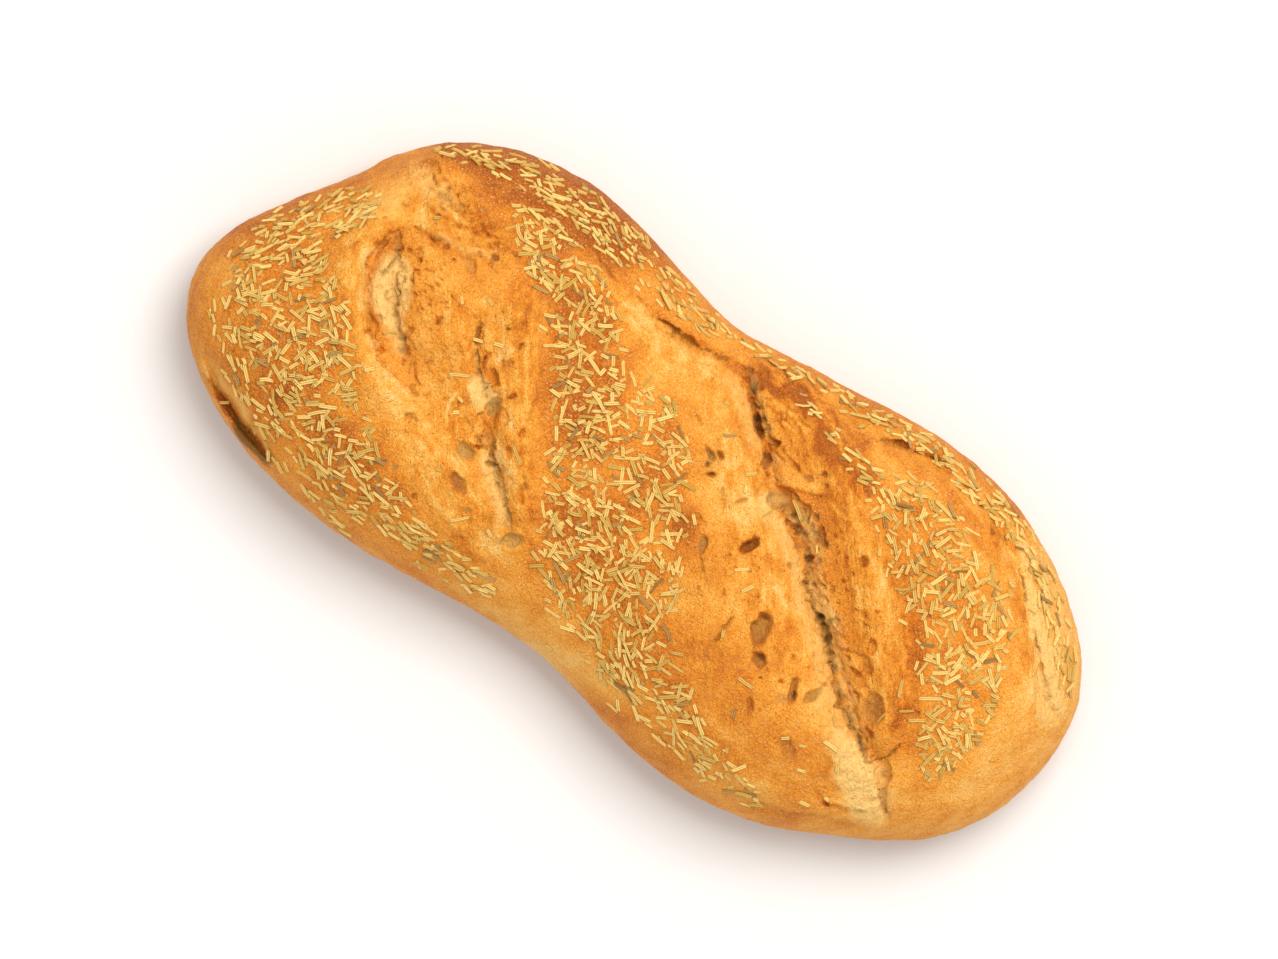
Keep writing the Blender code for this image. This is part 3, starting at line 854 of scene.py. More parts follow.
@dataclass(frozen=True)
class LeftSlash:
    """The short slash of the narrower end: a crescent lip round a rough dome, ragged seams and a bank."""

    crescent: Line = (
        (-74, -12), (-79, -12.6), (-85, -10.5), (-90, -6.5), (-95, -1.5), (-100, 4.5), (-103, 10.5),
        (-103.6, 16), (-101.5, 24),
    )
    bank: Line = ((-64, 32), (-54, 16), (-45, 1), (-37, -12), (-28, -27), (-20, -37))
    # Place, half length, half width, turn and depth, then the shares of grey skin, browning and dark scorch
    # on its floor, partly painted shade.
    bubbles: tuple[tuple[float, ...], ...] = (
        (-102.7, 17.8, 2.3, 0.8, 65, 1.6, 0, 0.1, 0.25), (-86.2, -8, 1.3, 0.8, -30, 1, 0, 0.4, 0),
        (-92.3, -5, 1, 0.6, -60, 0.7, 0, 0.5, 0), (-92, -0.8, 1.9, 1, -50, 1.2, 0.3, 0.3, 0.2),
        (-79, -4.7, 1.7, 1.2, 0, 0.9, 0.6, 0.1, 0), (-81.5, -2.3, 1.2, 0.8, 0, 0.6, 0.5, 0.1, 0),
        (-77, -7.3, 0.8, 0.5, 45, 0.8, 0, 0.3, 0.6), (-93.8, 21.2, 1.2, 0.7, 30, 0.9, 0, 0.4, 0.3),
        (-91.4, 22.7, 0.9, 0.5, 30, 0.6, 0, 0.4, 0.1), (-86.2, 18.8, 0.7, 0.5, 40, 0.7, 0, 0.4, 0.4),
        (-88.8, 16.7, 0.8, 0.5, 30, 0.7, 0, 0.4, 0.3), (-82.3, 25.2, 0.9, 0.6, 0, 0.6, 0, 0.6, 0),
        (-76.2, 9, 1.6, 0.8, 80, 0.6, 0, 0.4, 0), (-77.4, 26.2, 2.6, 1.3, -35, 1, 0.45, 0.05, 0),
        (-78.8, 36.6, 1.7, 0.7, -30, 1.1, 0, 0.25, 0.2), (-73.3, 32, 1.4, 0.7, 10, 1.1, 0.4, 0.3, 0.2),
        (-53.2, 2.8, 2.5, 1.6, -25, 2.3, 0, 0.25, 0), (-48.3, -4.2, 3.1, 2.3, -35, 1.9, 0.8, 0.05, 0),
        (-51.2, 15.2, 1.1, 0.8, 80, 1.1, 0, 0.3, 0.5), (-51.5, 9.2, 1.6, 0.9, 80, 0.8, 0.4, 0.3, 0),
        (-57.6, 17.6, 0.7, 0.5, 0, 0.8, 0, 0.3, 0.6), (-46.2, 1.6, 1.4, 0.6, 80, 0.7, 0, 0.5, 0),
        (-37.5, -5, 1.8, 1, -60, 1.3, 0, 0.3, 0.1), (-37.6, -12.8, 2.2, 0.8, -60, 0.9, 0, 0.4, 0),
        (-27.6, -21, 3.2, 0.9, -55, 0.8, 0, 0.35, 0), (-33.4, -18.8, 0.9, 0.6, 0, 0.6, 0, 0.3, 0),
        (-48.8, -19.3, 3.5, 2.6, -15, 2, 0.85, 0, 0), (-46.1, -15.4, 1.9, 0.8, 30, 1.1, 0, 0.5, 0.15),
        (-23.4, -33.4, 3.7, 2.9, 35, 2, 0.8, 0, 0), (-45.2, -28, 3.1, 1.4, -30, 1.5, 0.45, 0.2, 0),
        (-39, -33.3, 1.3, 0.7, 0, 0.6, 0.8, 0.3, 0), (-63.5, -35, 0.9, 0.7, 50, 0.6, 1, 0.3, 0),
        (-54, -38.4, 0.9, 0.6, 0, 0.8, 0, 0.3, 0.8), (-51.3, -26.2, 0.4, 0.3, 0, 0.4, 0, 0.6, 0),
        (-63.4, -16.2, 0.6, 0.4, 50, 0.4, 0.8, 0.3, 0), (-106, 25, 0.6, 0.4, 60, 0.4, 0, 0.6, 0),
        (-82.6, 42.3, 0.7, 0.5, 0, 0.4, 1, 0.3, 0),
    )

    def form(self) -> list[Feature]:
        """The slash's main forms."""
        seam = ((-69, 16), (-63, 8), (-57, 1), (-50, -5), (-45, -12), (-39, -19), (-31, -26), (-22, -35))
        return [
            Furrow(((-99, 36), (-98, 18), (-88, 2), (-72, -10), (-50, -16), (-30, -28)), 12, 10, 3.0),
            Furrow(
                ((-100, 26), (-103.5, 17), (-101.5, 7), (-95.5, -1), (-88, -8), (-78, -12.5)),
                4.5, 1.7, 4.6,
            ),
            Furrow(((-96, 20), (-93, 9), (-86, 0), (-79, -7), (-70, -13)), 4, 4, 3.4),
            Furrow(seam, 3.4, 3.0, 2.6),
            Furrow(((-101, 42.5), (-92, 41), (-84, 39.5), (-76, 36.5), (-71, 31)), 3.4, 3.0, 2.6),
            Ridge(((-72, 33), (-58, 22), (-47, 6), (-38, -8), (-27, -24), (-20, -36)), 5.5, 3.0),
            Ridge(((-106, 40), (-109, 22), (-107, 5), (-98, -8), (-84, -17), (-66, -24)), 6.0, 3.0),
            Ridge(((-84, 22), (-78, 10), (-68, 0)), 10.0, 2.4),
            Ridge(((-113, 40), (-105, 47), (-95, 49.5)), 3.5, 2.0),
        ]

    def edges(self) -> list[Feature]:
        """Torn edges, cracks and stretched strands."""
        return [
            Lip(self.crescent, 1.1, 4.0, 1.8, 1.1),
            Lip(
                ((-97.5, 22), (-94.5, 14), (-90, 7), (-85, 0.5), (-78.5, -4.5)),
                0.7, 3.0, 1.1, 1.4, crumb=0.2,
            ),
            Crack(
                ((-103.8, 13), (-102, 8), (-98.5, 2.5), (-95, -1), (-92, -4.5), (-88.5, -7.5)),
                0.35, 1.1, 0.2, 0.2,
            ),
            Crack(((-84, -10.3), (-79, -12.2), (-74.5, -12)), 0.25, 0.7, 0.15, 0.15),
            Lip(((-98, 28.5), (-90, 28.3), (-80, 29), (-74, 31), (-70, 33.5)), 0.6, 4.0, 0.5, 2.0, toast=0.1),
            Lip(((-82, 26.2), (-79.5, 27.8), (-77.5, 28), (-75.5, 25.5)), 0.4, 2.0, 0.8, 1.6),
            Crack(
                ((-101.5, 24.3), (-99.5, 23), (-98, 20.5), (-96.5, 18), (-97, 15.5), (-98, 12),
                 (-98.5, 9.5)),
                0.7, 1.3, 0.1, 0.3,
            ),
            Crack(((-93, 12.5), (-91, 9.5), (-88.5, 6), (-86.3, 3)), 0.45, 1.0, 0.15, 0.35),
            Crack(((-82.5, 2), (-80.5, -0.5), (-78, -2), (-75.5, -2.5)), 0.5, 1.0, 0.1, 0.35),
            Crack(((-75.5, -6), (-74, -10)), 0.35, 0.7, 0.1, 0.3),
            Crack(((-72.7, -11.3), (-70.8, -13), (-69, -13.2)), 0.5, 1.2, 0.2, 0.35),
            Crack(
                ((-66.5, 14.5), (-64.5, 10), (-62.5, 8), (-61, 5.5), (-59.3, 3.8), (-56.5, 0.5)),
                0.45, 1.2, 0.15, 0.15,
            ),
            Crack(
                ((-44.5, -10.5), (-42.5, -13), (-40.8, -17.5), (-38.5, -18), (-36.5, -19), (-34.5, -21.5),
                 (-32, -24), (-30, -26), (-28, -28), (-26, -29.5)), 0.5, 1.2, 0.15, 0.4,
            ),
            Crack(((-63, -14.8), (-61.3, -13.5)), 0.3, 0.5, 0.1, 0.4),
            Crack(((-68.5, -20.3), (-66.5, -20), (-65, -20.3), (-64, -21)), 0.4, 0.8, 0.2, 0.45),
            Crack(((-69, 13.6), (-67.5, 14.6), (-66.5, 15.3)), 0.25, 0.5, 0.1, 0.4),
            Crack(((-29.5, -39.8), (-27, -39.2), (-25, -38)), 0.3, 0.5, 0.1, 0.3),
            Crack(((-75, 24.6), (-72, 24.2)), 0.35, 0.6, 0.1, 0.4),
            Crack(((-105, 44.3), (-103, 46.2), (-101, 46.6), (-100.3, 45)), 0.5, 1.0, 0.2, 0.2),
            Crack(((-98, 41), (-95, 40), (-91, 39), (-88, 38.5)), 0.55, 1.0, 0.15, 0.25),
            Crack(((-83.5, 39.5), (-81.5, 38.8), (-79.5, 38)), 0.4, 0.7, 0.15, 0.4),
            Crack(((-104, 31.3), (-102.5, 31.6), (-101.3, 32.6)), 0.35, 0.6, 0.1, 0.35),
            Crack(((-96.5, 35), (-93, 34), (-89, 34.5)), 0.3, 0.5, 0.1, 0.15),
            *torn_bits(
                ((-66, 14), (-58, 2), (-48, -8), (-40, -18), (-26, -30)),
                1.8, 22, 36, split_share=0.2,
            ),
            *torn_bits(((-102, 44), (-92, 40), (-82, 38), (-72, 32)), 3.0, 30, 37, split_share=0.3),
            *torn_bits(((-98, 22), (-96, 10), (-88, 2), (-78, -6), (-68, -10)), 1.8, 22, 38, split_share=0.3),
            *torn_bits(((-90, 26), (-82, 18), (-74, 6), (-66, -4)), 5.0, 20, 39, split_share=0.4),
            *torn_bits(((-62, 26), (-50, 8), (-40, -8), (-28, -26)), 3.5, 14, 40, split_share=0.5),
            Fibres(self.bank, 8, 5, 0.3),
            Fibres(((-70, -18), (-55, -26), (-40, -34), (-24, -40)), 8, 9, 0.16, across=1.5),
            Fibres(((-103, 38), (-92, 33), (-80, 33), (-70, 36)), 7, 5, 0.45, across=1.4, stretch=4.5),
            Fibres(((-106, 30), (-108, 12), (-100, -4), (-86, -14), (-68, -19)), 5, 5, 0.12, across=1.4),
            Fibres(((-76, 20), (-66, 8), (-56, -8), (-44, -22)), 7, 7, 0.2, across=1.3),
            Ridge(((-54.6, 5.5), (-54, 9), (-53, 14)), 0.5, 0.5),
            Ridge(((-59.6, -4), (-59.8, -9), (-59.2, -13), (-57.3, -16)), 0.5, 0.35),
        ]

    def holes(self) -> list[Feature]:
        """Burst bubbles and small holes."""
        return [
            *(Bubble(*row) for row in self.bubbles),
            *pores(((-97, 27.5), (-91, 27.6), (-85, 27.8)), 0.5, 20, (0.3, 0.8), 21, 0.0, 0.3),
            *pores(((-94, 24), (-86, 18), (-80, 10)), 4.0, 60, (0.3, 0.9), 22, 0.0, 0.25),
            *pores(((-98, 20), (-96, 10), (-88, 2), (-78, -6)), 1.6, 24, (0.35, 0.8), 23, 0.2, 0.25),
            *pores(((-44, -11), (-40, -17), (-34, -22), (-27, -29)), 0.8, 24, (0.35, 0.8), 24, 0.4, 0.4),
            *pores(((-50, -8), (-46, -12), (-43, -15)), 1.8, 20, (0.3, 0.7), 25, 0.4, 0.2),
            *pores(((-104, 44), (-95, 40), (-84, 37), (-74, 33)), 2.2, 40, (0.35, 0.9), 26, 0.15, 0.3),
            *pores(((-72, 4), (-64, -4), (-54, -12)), 4.0, 36, (0.25, 0.6), 27, 0.1, 0.2),
        ]

    def tints(self) -> list[Feature]:
        """Pale crumb, grey skins, browning, olive painted shade along seams and cracks, and painted light up
        the bank beside the zigzag seam.
        """
        return [
            Patch(-92.5, 8.5, 10, 5.4, -58, Tint.CRUMB, 1.2, 0.5),
            Patch(-84, 14, 16, 14, 0, Tint.TORN, 0.45, 0.6),
            Patch(-93, 9, 10, 5.0, -58, Tint.TOAST, -0.2, 0.6),
            Patch(-84, -2, 7.0, 2.6, -38, Tint.CRUMB, 0.45, 0.5),
            Band(((-101, 24), (-97.5, 19), (-97, 13), (-98.5, 9)), 0.9, 0.9, Tint.SKIN, 0.45),
            Band(((-94, 12), (-89, 5.5), (-85, 0.5), (-79, -5)), 0.8, 1.1, Tint.SKIN, 0.35),
            Band(((-53, 14), (-54, 10), (-54.6, 5.5)), 0.6, 0.6, Tint.TOAST, -0.4),
            Band(
                ((-102, 22), (-104, 15), (-101.5, 6), (-95.5, -2), (-88, -9), (-80, -12)),
                2.4, 2.4, Tint.TOAST, -0.16,
            ),
            Band(((-59.6, -4), (-59.8, -9), (-59.2, -13), (-57.3, -16)), 0.6, 0.6, Tint.TOAST, -0.35),
            # Paler up the bank wall beside the zigzag seam: partly paler strands, partly painted light on the
            # wall.
            Band(((-44, -11), (-36, -19), (-28, -28), (-21, -36)), 4.0, 0.8, Tint.TOAST, -0.28),
            Patch(-98, 40, 8, 4, -15, Tint.CRUMB, 0.36, 0.6),
            Patch(-107, 34, 5, 10, 0, Tint.CRUMB, 0.25, 0.7),
            Patch(-54.0, -2.2, 5.8, 3.0, -24, Tint.CRUMB, 0.85, 0.4),
            Band(((-66, 14), (-62.5, 8), (-59, 3.5), (-55, 0)), 0.7, 0.9, Tint.SKIN, 0.5),
            Band(((-68, 14), (-64, 7), (-60, 2), (-54, -4)), 2.6, 1.6, Tint.TOAST, -0.2),
            Band(((-57.8, 9), (-57.2, 6), (-56.6, 3)), 0.8, 0.8, Tint.TOAST, 0.4),
            Band(((-43, -14), (-38, -19), (-33, -24), (-26, -30)), 0.6, 4.0, Tint.CRUMB, 0.55),
            Band(((-43, -13), (-39, -18), (-33, -23.5), (-26, -30.5)), 0.7, 0.9, Tint.SKIN, 0.55),
            Patch(-45.5, -12.5, 2.8, 2.0, -40, Tint.SKIN, 0.3, 0.6),
            Band(((-98, 41), (-93, 39.7), (-88, 38.5)), 1.0, 1.6, Tint.SKIN, 0.35),
            Band(((-91, 28), (-80, 28.6), (-72, 32)), 3.0, 0.5, Tint.CRUMB, 0.3),
        ]


@dataclass(frozen=True)
class EdgeTears:
    """Cracks along the long edge and the round end, and the burst in the side of the narrow end."""

    top_crack: Line = (
        (-25, 44), (-22, 44.3), (-20, 44.6), (-17.5, 43.7), (-15, 43.3), (-12, 44), (-8, 44), (-4, 45),
        (1, 46.5),
    )
    burst: Line = ((-129, -38), (-119, -45.3), (-109, -49.6), (-95, -53.4))

    def form(self) -> list[Feature]:
        """The main forms."""
        return [
            Furrow(((-28, 45.5), (-18, 43.8), (-9, 44), (0, 46.5)), 2.0, 2.6, 3.0),
            Furrow(((51, 51.5), (58, 53), (66, 53), (74, 54.5)), 2.2, 2.0, 3.0),
            Furrow(((84, 52), (97, 47), (107, 39.5), (113, 33)), 1.8, 1.8, 2.0),
            Furrow(((118, 29), (125, 22), (131, 14), (141, 11)), 1.8, 2.2, 2.4),
            Furrow(self.burst, 3.6, 1.6, 9.0),
            Ridge(((-128, -42.5), (-118, -48), (-108, -52), (-96, -55)), 2.2, 1.6),
        ]

    def edges(self) -> list[Feature]:
        """Cracks and strands."""
        return [
            Crack(self.top_crack, 0.75, 1.8, 0.3, 0.75),
            Crack(((-32, 46.6), (-29, 46.2), (-27, 45.6)), 0.35, 0.8, 0.15, 0.5),
            Crack(
                ((-60, 52), (-55, 52.5), (-50, 52), (-47.5, 50.5), (-45, 49), (-42, 48), (-39, 47),
                 (-37, 43.8)),
                0.3, 0.7, 0.2, 0.4,
            ),
            Crack(((-86, 50.3), (-78, 51.5), (-70, 53)), 0.22, 0.5, 0.2, 0.3),
            Crack(
                ((50, 51), (53, 51.3), (55, 52.3), (60, 52.8), (62.5, 54.5), (66, 54.6), (70, 54.3)),
                0.6, 1.2, 0.3, 0.5,
            ),
            Crack(((78, 53.8), (83, 53), (88, 51.3)), 0.3, 0.6, 0.15, 0.35),
            Crack(((95.5, 49), (97.5, 47), (100, 44.8)), 0.3, 0.6, 0.15, 0.35),
            Crack(((105.5, 42), (108.5, 39.5), (110.5, 37.5), (113, 34.3)), 0.4, 0.9, 0.3, 0.5),
            Crack(((119.5, 29.5), (122, 26.5), (124.5, 24.3)), 0.4, 0.8, 0.2, 0.35),
            Crack(((126.5, 22), (130.5, 17.5), (133.5, 14)), 0.45, 0.8, 0.2, 0.3),
            Crack(((20, 50.5), (30, 51), (36, 51.5), (41, 52.3)), 0.25, 0.5, 0.15, 0.2),
            Bubble(57.3, 53.4, 2.6, 0.9, 8, 1.2, toast=0.5, ember=0.15),
            Bubble(67.5, 55.2, 2.8, 0.8, 0, 1.0, toast=0.5, ember=0.1),
            Bubble(92.5, 46, 1.0, 0.6, 0, 0.4, toast=0.4),
            Ridge(((104, 45), (114, 38), (124, 27), (134, 15), (141, 9)), 1.6, 0.8),
            Fibres(((88, 52), (104, 44), (118, 32), (132, 16), (141, 5)), 6, 6, 0.14, across=2.0),
            Fibres(((-40, 44), (-24, 40), (-8, 40), (4, 42)), 3, 6, 0.16, across=1.5),
        ]

    def tints(self) -> list[Feature]:
        """Pale crumb, browning, and painted light and shade in the burst at the narrow end."""
        return [
            # The burst's pocket: its back wall paler, partly paler crust and partly painted light from the
            # glow inside; its floor browner and darker with painted shade.
            Band(((-127, -39.5), (-121, -42.5), (-114, -45.6), (-107, -48.6)), 3.0, 0.9, Tint.TOAST, -0.35),
            Band(((-124, -40.5), (-118, -43), (-112, -45.6), (-106, -48)), 2.4, 0.5, Tint.CRUMB, 0.3),
            Band(((-119, -45.8), (-112, -49), (-105, -51.8), (-94.5, -54.6)), 3.6, 1.4, Tint.TOAST, 0.6),
            Band(((-111, -49.5), (-105, -51.6), (-99, -53.4), (-94.5, -54.8)), 2.0, 1.2, Tint.EMBER, 0.75),
            Band(((-125, -41), (-119, -44.6), (-112, -48), (-106, -50.4)), 0.6, 0.5, Tint.EMBER, 0.5),
            Band(((100, 48), (112, 39.5), (124, 27.5), (135, 14), (141, 9)), 3.5, 3.0, Tint.TOAST, -0.3),
            Band(((-34, 43.5), (-24, 42), (-8, 41.5), (2, 43)), 2.5, 5.0, Tint.TOAST, -0.3),
            Patch(133, 13, 7, 3, -45, Tint.CRUMB, 0.45, 0.6),
            Patch(58, 52, 9, 2, 5, Tint.TOAST, -0.15, 0.8),
        ]


@dataclass(frozen=True)
class Browning:
    """Where the oven browned the crust more or less than the rest."""

    patches: tuple[tuple[float, float, float, float, float, float], ...] = (
        (-120, -14, 24, 26, 0, 0.22), (-136, 6, 13, 13, 40, 0.24), (-84, -40, 36, 13, -12, 0.22),
        (-90, 47.5, 14, 4, -18, 0.25), (-66, 59, 40, 9, 2, 0.6), (-103, 50, 12, 6, 38, 0.2),
        (-122, 28, 17, 7, 42, 0.26), (-66, 47, 12, 6, 0, 0.14), (96, -5, 10, 3.5, -62, 0.24),
        (-108, 14, 6, 20, 5, -0.28), (-58, -24, 20, 12, -20, -0.12), (-82, -16, 13, 5, -20, -0.16),
        (-68, 4, 8, 12, 20, 0.06), (-46, 4, 7, 26, 33, -0.06),
        (-42, 26, 24, 14, -45, 0.32), (-6, -12, 24, 32, 0, 0.2), (32, -42, 24, 12, -25, 0.13),
        (72, 13, 18, 5.5, -46, -0.34),
        (18, -3, 4, 8, 25, 0.26), (46, -26, 22, 16, -30, 0.1), (76, -42, 18, 8, -15, 0.1),
        (62, -5, 17, 6, -40, -0.14), (56, 23, 30, 8, -42, 0.18), (86, 2, 24, 6, -48, -0.04),
        (34, 44, 24, 5, -14, 0.3), (29, 44.5, 6, 3.5, -10, 0.18), (13, 47.5, 9, 4, -15, 0.12),
        (98, 20, 20, 20, 0, 0.13),
        (122, 30, 22, 10, -45, -0.24), (132, -6, 10, 24, 0, -0.14), (-23, -40, 8, 5, 0, -0.16),
        (56, 57, 50, 4.5, 2, 0.28), (4, -54, 20, 6, 0, -0.26), (44, -62, 22, 5, -3, 0.14),
        (-30, 8, 10, 10, 0, 0.12), (24, 12, 8, 10, 20, -0.18), (100, -14, 4, 9, 30, 0.2),
    )

    def tints(self) -> list[Feature]:
        """The patches."""
        return [Patch(*place, Tint.TOAST, share) for *place, share in self.patches]


@dataclass(frozen=True)
class Spread:
    """A band that needles fell on: places along its middle with a half width, and how thickly they lie."""

    line: tuple[tuple[float, float, float], ...]
    thickness: float

    def density(self, points: Array) -> Array:
        """How thickly needles lie at plan places, from 0 to the band's own thickness.

        Args:
            points: plan places.

        Returns:
            The densities.
        """
        middle = tuple((x, y) for x, y, _ in self.line)
        off, along, _ = beside_line(points, middle)
        _, lengths, start = measured(middle)
        half = np.interp(along, start / lengths.sum(), [wide for _, _, wide in self.line])
        return self.thickness * (1 - smooth_step(0.6, 1.15, np.abs(off) / half))


@dataclass(frozen=True)
class Strewing:
    """Where the rosemary fell: three broad bands between the slashes and a thin line along the long edge."""

    spreads: tuple[Spread, ...] = (
        Spread(
            ((-114, 24, 6), (-126, 8, 11), (-121, -8, 18), (-106, -22, 18), (-88, -34, 13),
             (-66, -46, 10), (-42, -49.5, 6), (-22, -49, 3)),
            1.0,
        ),
        Spread(
            ((-72, 48, 5), (-50, 39, 10), (-31, 22, 12), (-20, 5, 13), (-8, -11, 16), (2, -26, 17),
             (17, -37, 15), (33, -46, 11), (53, -54, 7), (77, -57.5, 3)),
            1.0,
        ),
        Spread(((-10, 20, 9), (0, 6, 12), (9, -8, 12), (18, -22, 10)), 0.7),
        Spread(((-104, 53, 4), (-82, 60, 6), (-60, 61, 7), (-42, 57, 7), (-26, 53, 6), (-8, 52.5, 4)), 1.0),
        Spread(
            ((-10, 54, 3), (14, 55.5, 3.5), (38, 57.5, 4.5), (64, 59, 5), (90, 55, 5), (108, 48, 5),
             (124, 37, 5), (136, 22, 4)),
            1.5,
        ),
        Spread(((24, 48.5, 2), (40, 44, 2.5), (54, 39, 3.5)), 0.55),
        Spread(
            ((56, 40, 5), (64, 38.5, 9), (76, 34, 13), (92, 25, 14), (104, 15, 14), (111, 3, 12),
             (114, -9, 9), (116, -19, 6)),
            1.0,
        ),
        Spread(((-128, -26, 8), (-112, -38, 7), (-92, -48, 7), (-66, -54, 5)), 0.5),
    )
    stray: float = 0.008
    clump_size: float = 9.0
    between_clumps: float = 0.35
    in_clumps: float = 0.9

    def density(self, points: Array) -> Array:
        """How thickly needles lie at plan places, from 0 to about 1.

        Args:
            points: plan places.

        Returns:
            The densities.
        """
        total = np.full(len(points), self.stray)
        for spread in self.spreads:
            total = np.maximum(total, spread.density(points))
        clump = 0.5 + 0.5 * rough(points, self.clump_size, 41, layers=2)
        return total * (self.between_clumps + self.in_clumps * np.clip(clump, 0, 1))


@dataclass
class CrustRelief:
    """All that rose, tore and browned on the loaf's top, by plan place."""

    right: RightSlash = field(default_factory=RightSlash)
    left: LeftSlash = field(default_factory=LeftSlash)
    edges: EdgeTears = field(default_factory=EdgeTears)
    browning: Browning = field(default_factory=Browning)
    strewing: Strewing = field(default_factory=Strewing)
    evenly_baked: float = 0.45
    side_spread: float = 0.01
    tear_turn: float = -52.0
    tear_stretch: float = 2.2
    patch_waver: float = 3.0
    crumb_height: float = 0.2
    crumb_pits: float = 0.16
    bump_height: float = 0.28
    small_height: float = 0.22
    crease_height: float = 0.13
    fold_height: float = 0.3
    needle_toast: float = 0.16

    def main_forms(self, points: Array) -> Array:
        """Height of the ridges and furrows that the loaf's solid has too.

        Args:
            points: plan places.

        Returns:
            The heights.
        """
        marks = Marks.blank(len(points))
        for feature in (*self.right.form(), *self.left.form(), *self.edges.form()):
            feature.mark(points, marks)
        return marks.rise

    def fine(self, points: Array, height: Array) -> Marks:
        """Height and tints of the tears, holes, crumb and browning.

        Args:
            points: plan places.
            height: how high they lie.

        Returns:
            The marks, with every tint from 0 to 1.
        """
        marks = Marks.blank(len(points))
        wavered = points + np.stack([self.waver(points, 51), self.waver(points, 61)], axis=1)
        for part in (self.right, self.left, self.edges):
            for feature in (*part.edges(), *part.tints()):
                feature.mark(wavered, marks)
        for feature in (*self.right.holes(), *self.left.holes()):
            feature.mark(wavered, marks)
        shifted = points + self.patch_waver * np.stack([swell(points, 8, 52), swell(points, 8, 62)], axis=1)
        for feature in self.browning.tints():
            feature.mark(shifted, marks)
        self.roughen(points * (1 + self.side_spread * (LoafForm.height - height))[:, None], marks)
        for tint, share in marks.tints.items():
            marks.tints[tint] = np.clip(share, 0, 1)
        return marks

    def waver(self, points: Array, seed: int) -> Array:
        """How far drawn lines stray sideways, in millimetres."""
        wide, middling = 0.9 * swell(points, 7.0, seed), 0.5 * swell(points, 2.6, seed + 1)
        return wide + middling + 0.25 * swell(points, 1.1, seed + 2)

    def roughen(self, points: Array, marks: Marks) -> None:
        """Adds the crumb's roughness, the crust's unevenness and the mottled browning.

        Args:
            points: plan places, drawn out over the sides so that nothing streaks there.
            marks: gathers the result.
        """
        crumb = np.clip(marks.tints[Tint.CRUMB], 0, 1)
        skin = np.clip(marks.tints[Tint.SKIN], 0, 1)
        torn = np.clip(marks.tints[Tint.TORN] + crumb, 0, 1)
        grain = nearest_grain(points, 1.3, 81)
        coarse = rough(points, 2.4, 82, layers=2)
        pits = 1 - smooth_step(0.1, 0.45, grain)
        marks.rise += crumb * (self.crumb_height * coarse - self.crumb_pits * pits)
        marks.rise += skin * self.crumb_height * coarse
        bumps = rough(points, 8.0, 91, layers=3)
        small = rough(points, 2.6, 95, layers=3)
        creases = 1 - 2.2 * np.abs(rough(self.along_tears(points), 2.4, 97, layers=3))
        folds = 1 - 2.2 * np.abs(rough(points, 7.0, 98, layers=3))
        torn_rise = self.small_height * small + self.crease_height * creases + self.fold_height * folds
        marks.rise += self.bump_height * bumps + torn * torn_rise
        toast = marks.tints[Tint.TOAST]
        toast += self.evenly_baked + self.needle_toast * self.strewing.density(points)
        toast += 0.1 * rough(points, 13.0, 101, layers=2) + 0.1 * rough(points, 5.0, 103, layers=2)
        islands = smooth_step(-0.2, 0.25, rough(self.along_tears(points), 2.8, 99, layers=3))
        toast += 0.06 * bumps + torn * (0.08 * small + 0.12 * islands + 0.05 * folds - 0.07)

    def along_tears(self, points: Array) -> Array:
        """Plan places squeezed along the way that the slashes tore, which draws unevenness out that way.

        Args:
            points: plan places.

        Returns:
            The squeezed places.
        """
        turn = math.radians(self.tear_turn)
        along = points[:, 0] * math.cos(turn) + points[:, 1] * math.sin(turn)
        across = points[:, 1] * math.cos(turn) - points[:, 0] * math.sin(turn)
        return np.stack([along / self.tear_stretch, across], axis=1)


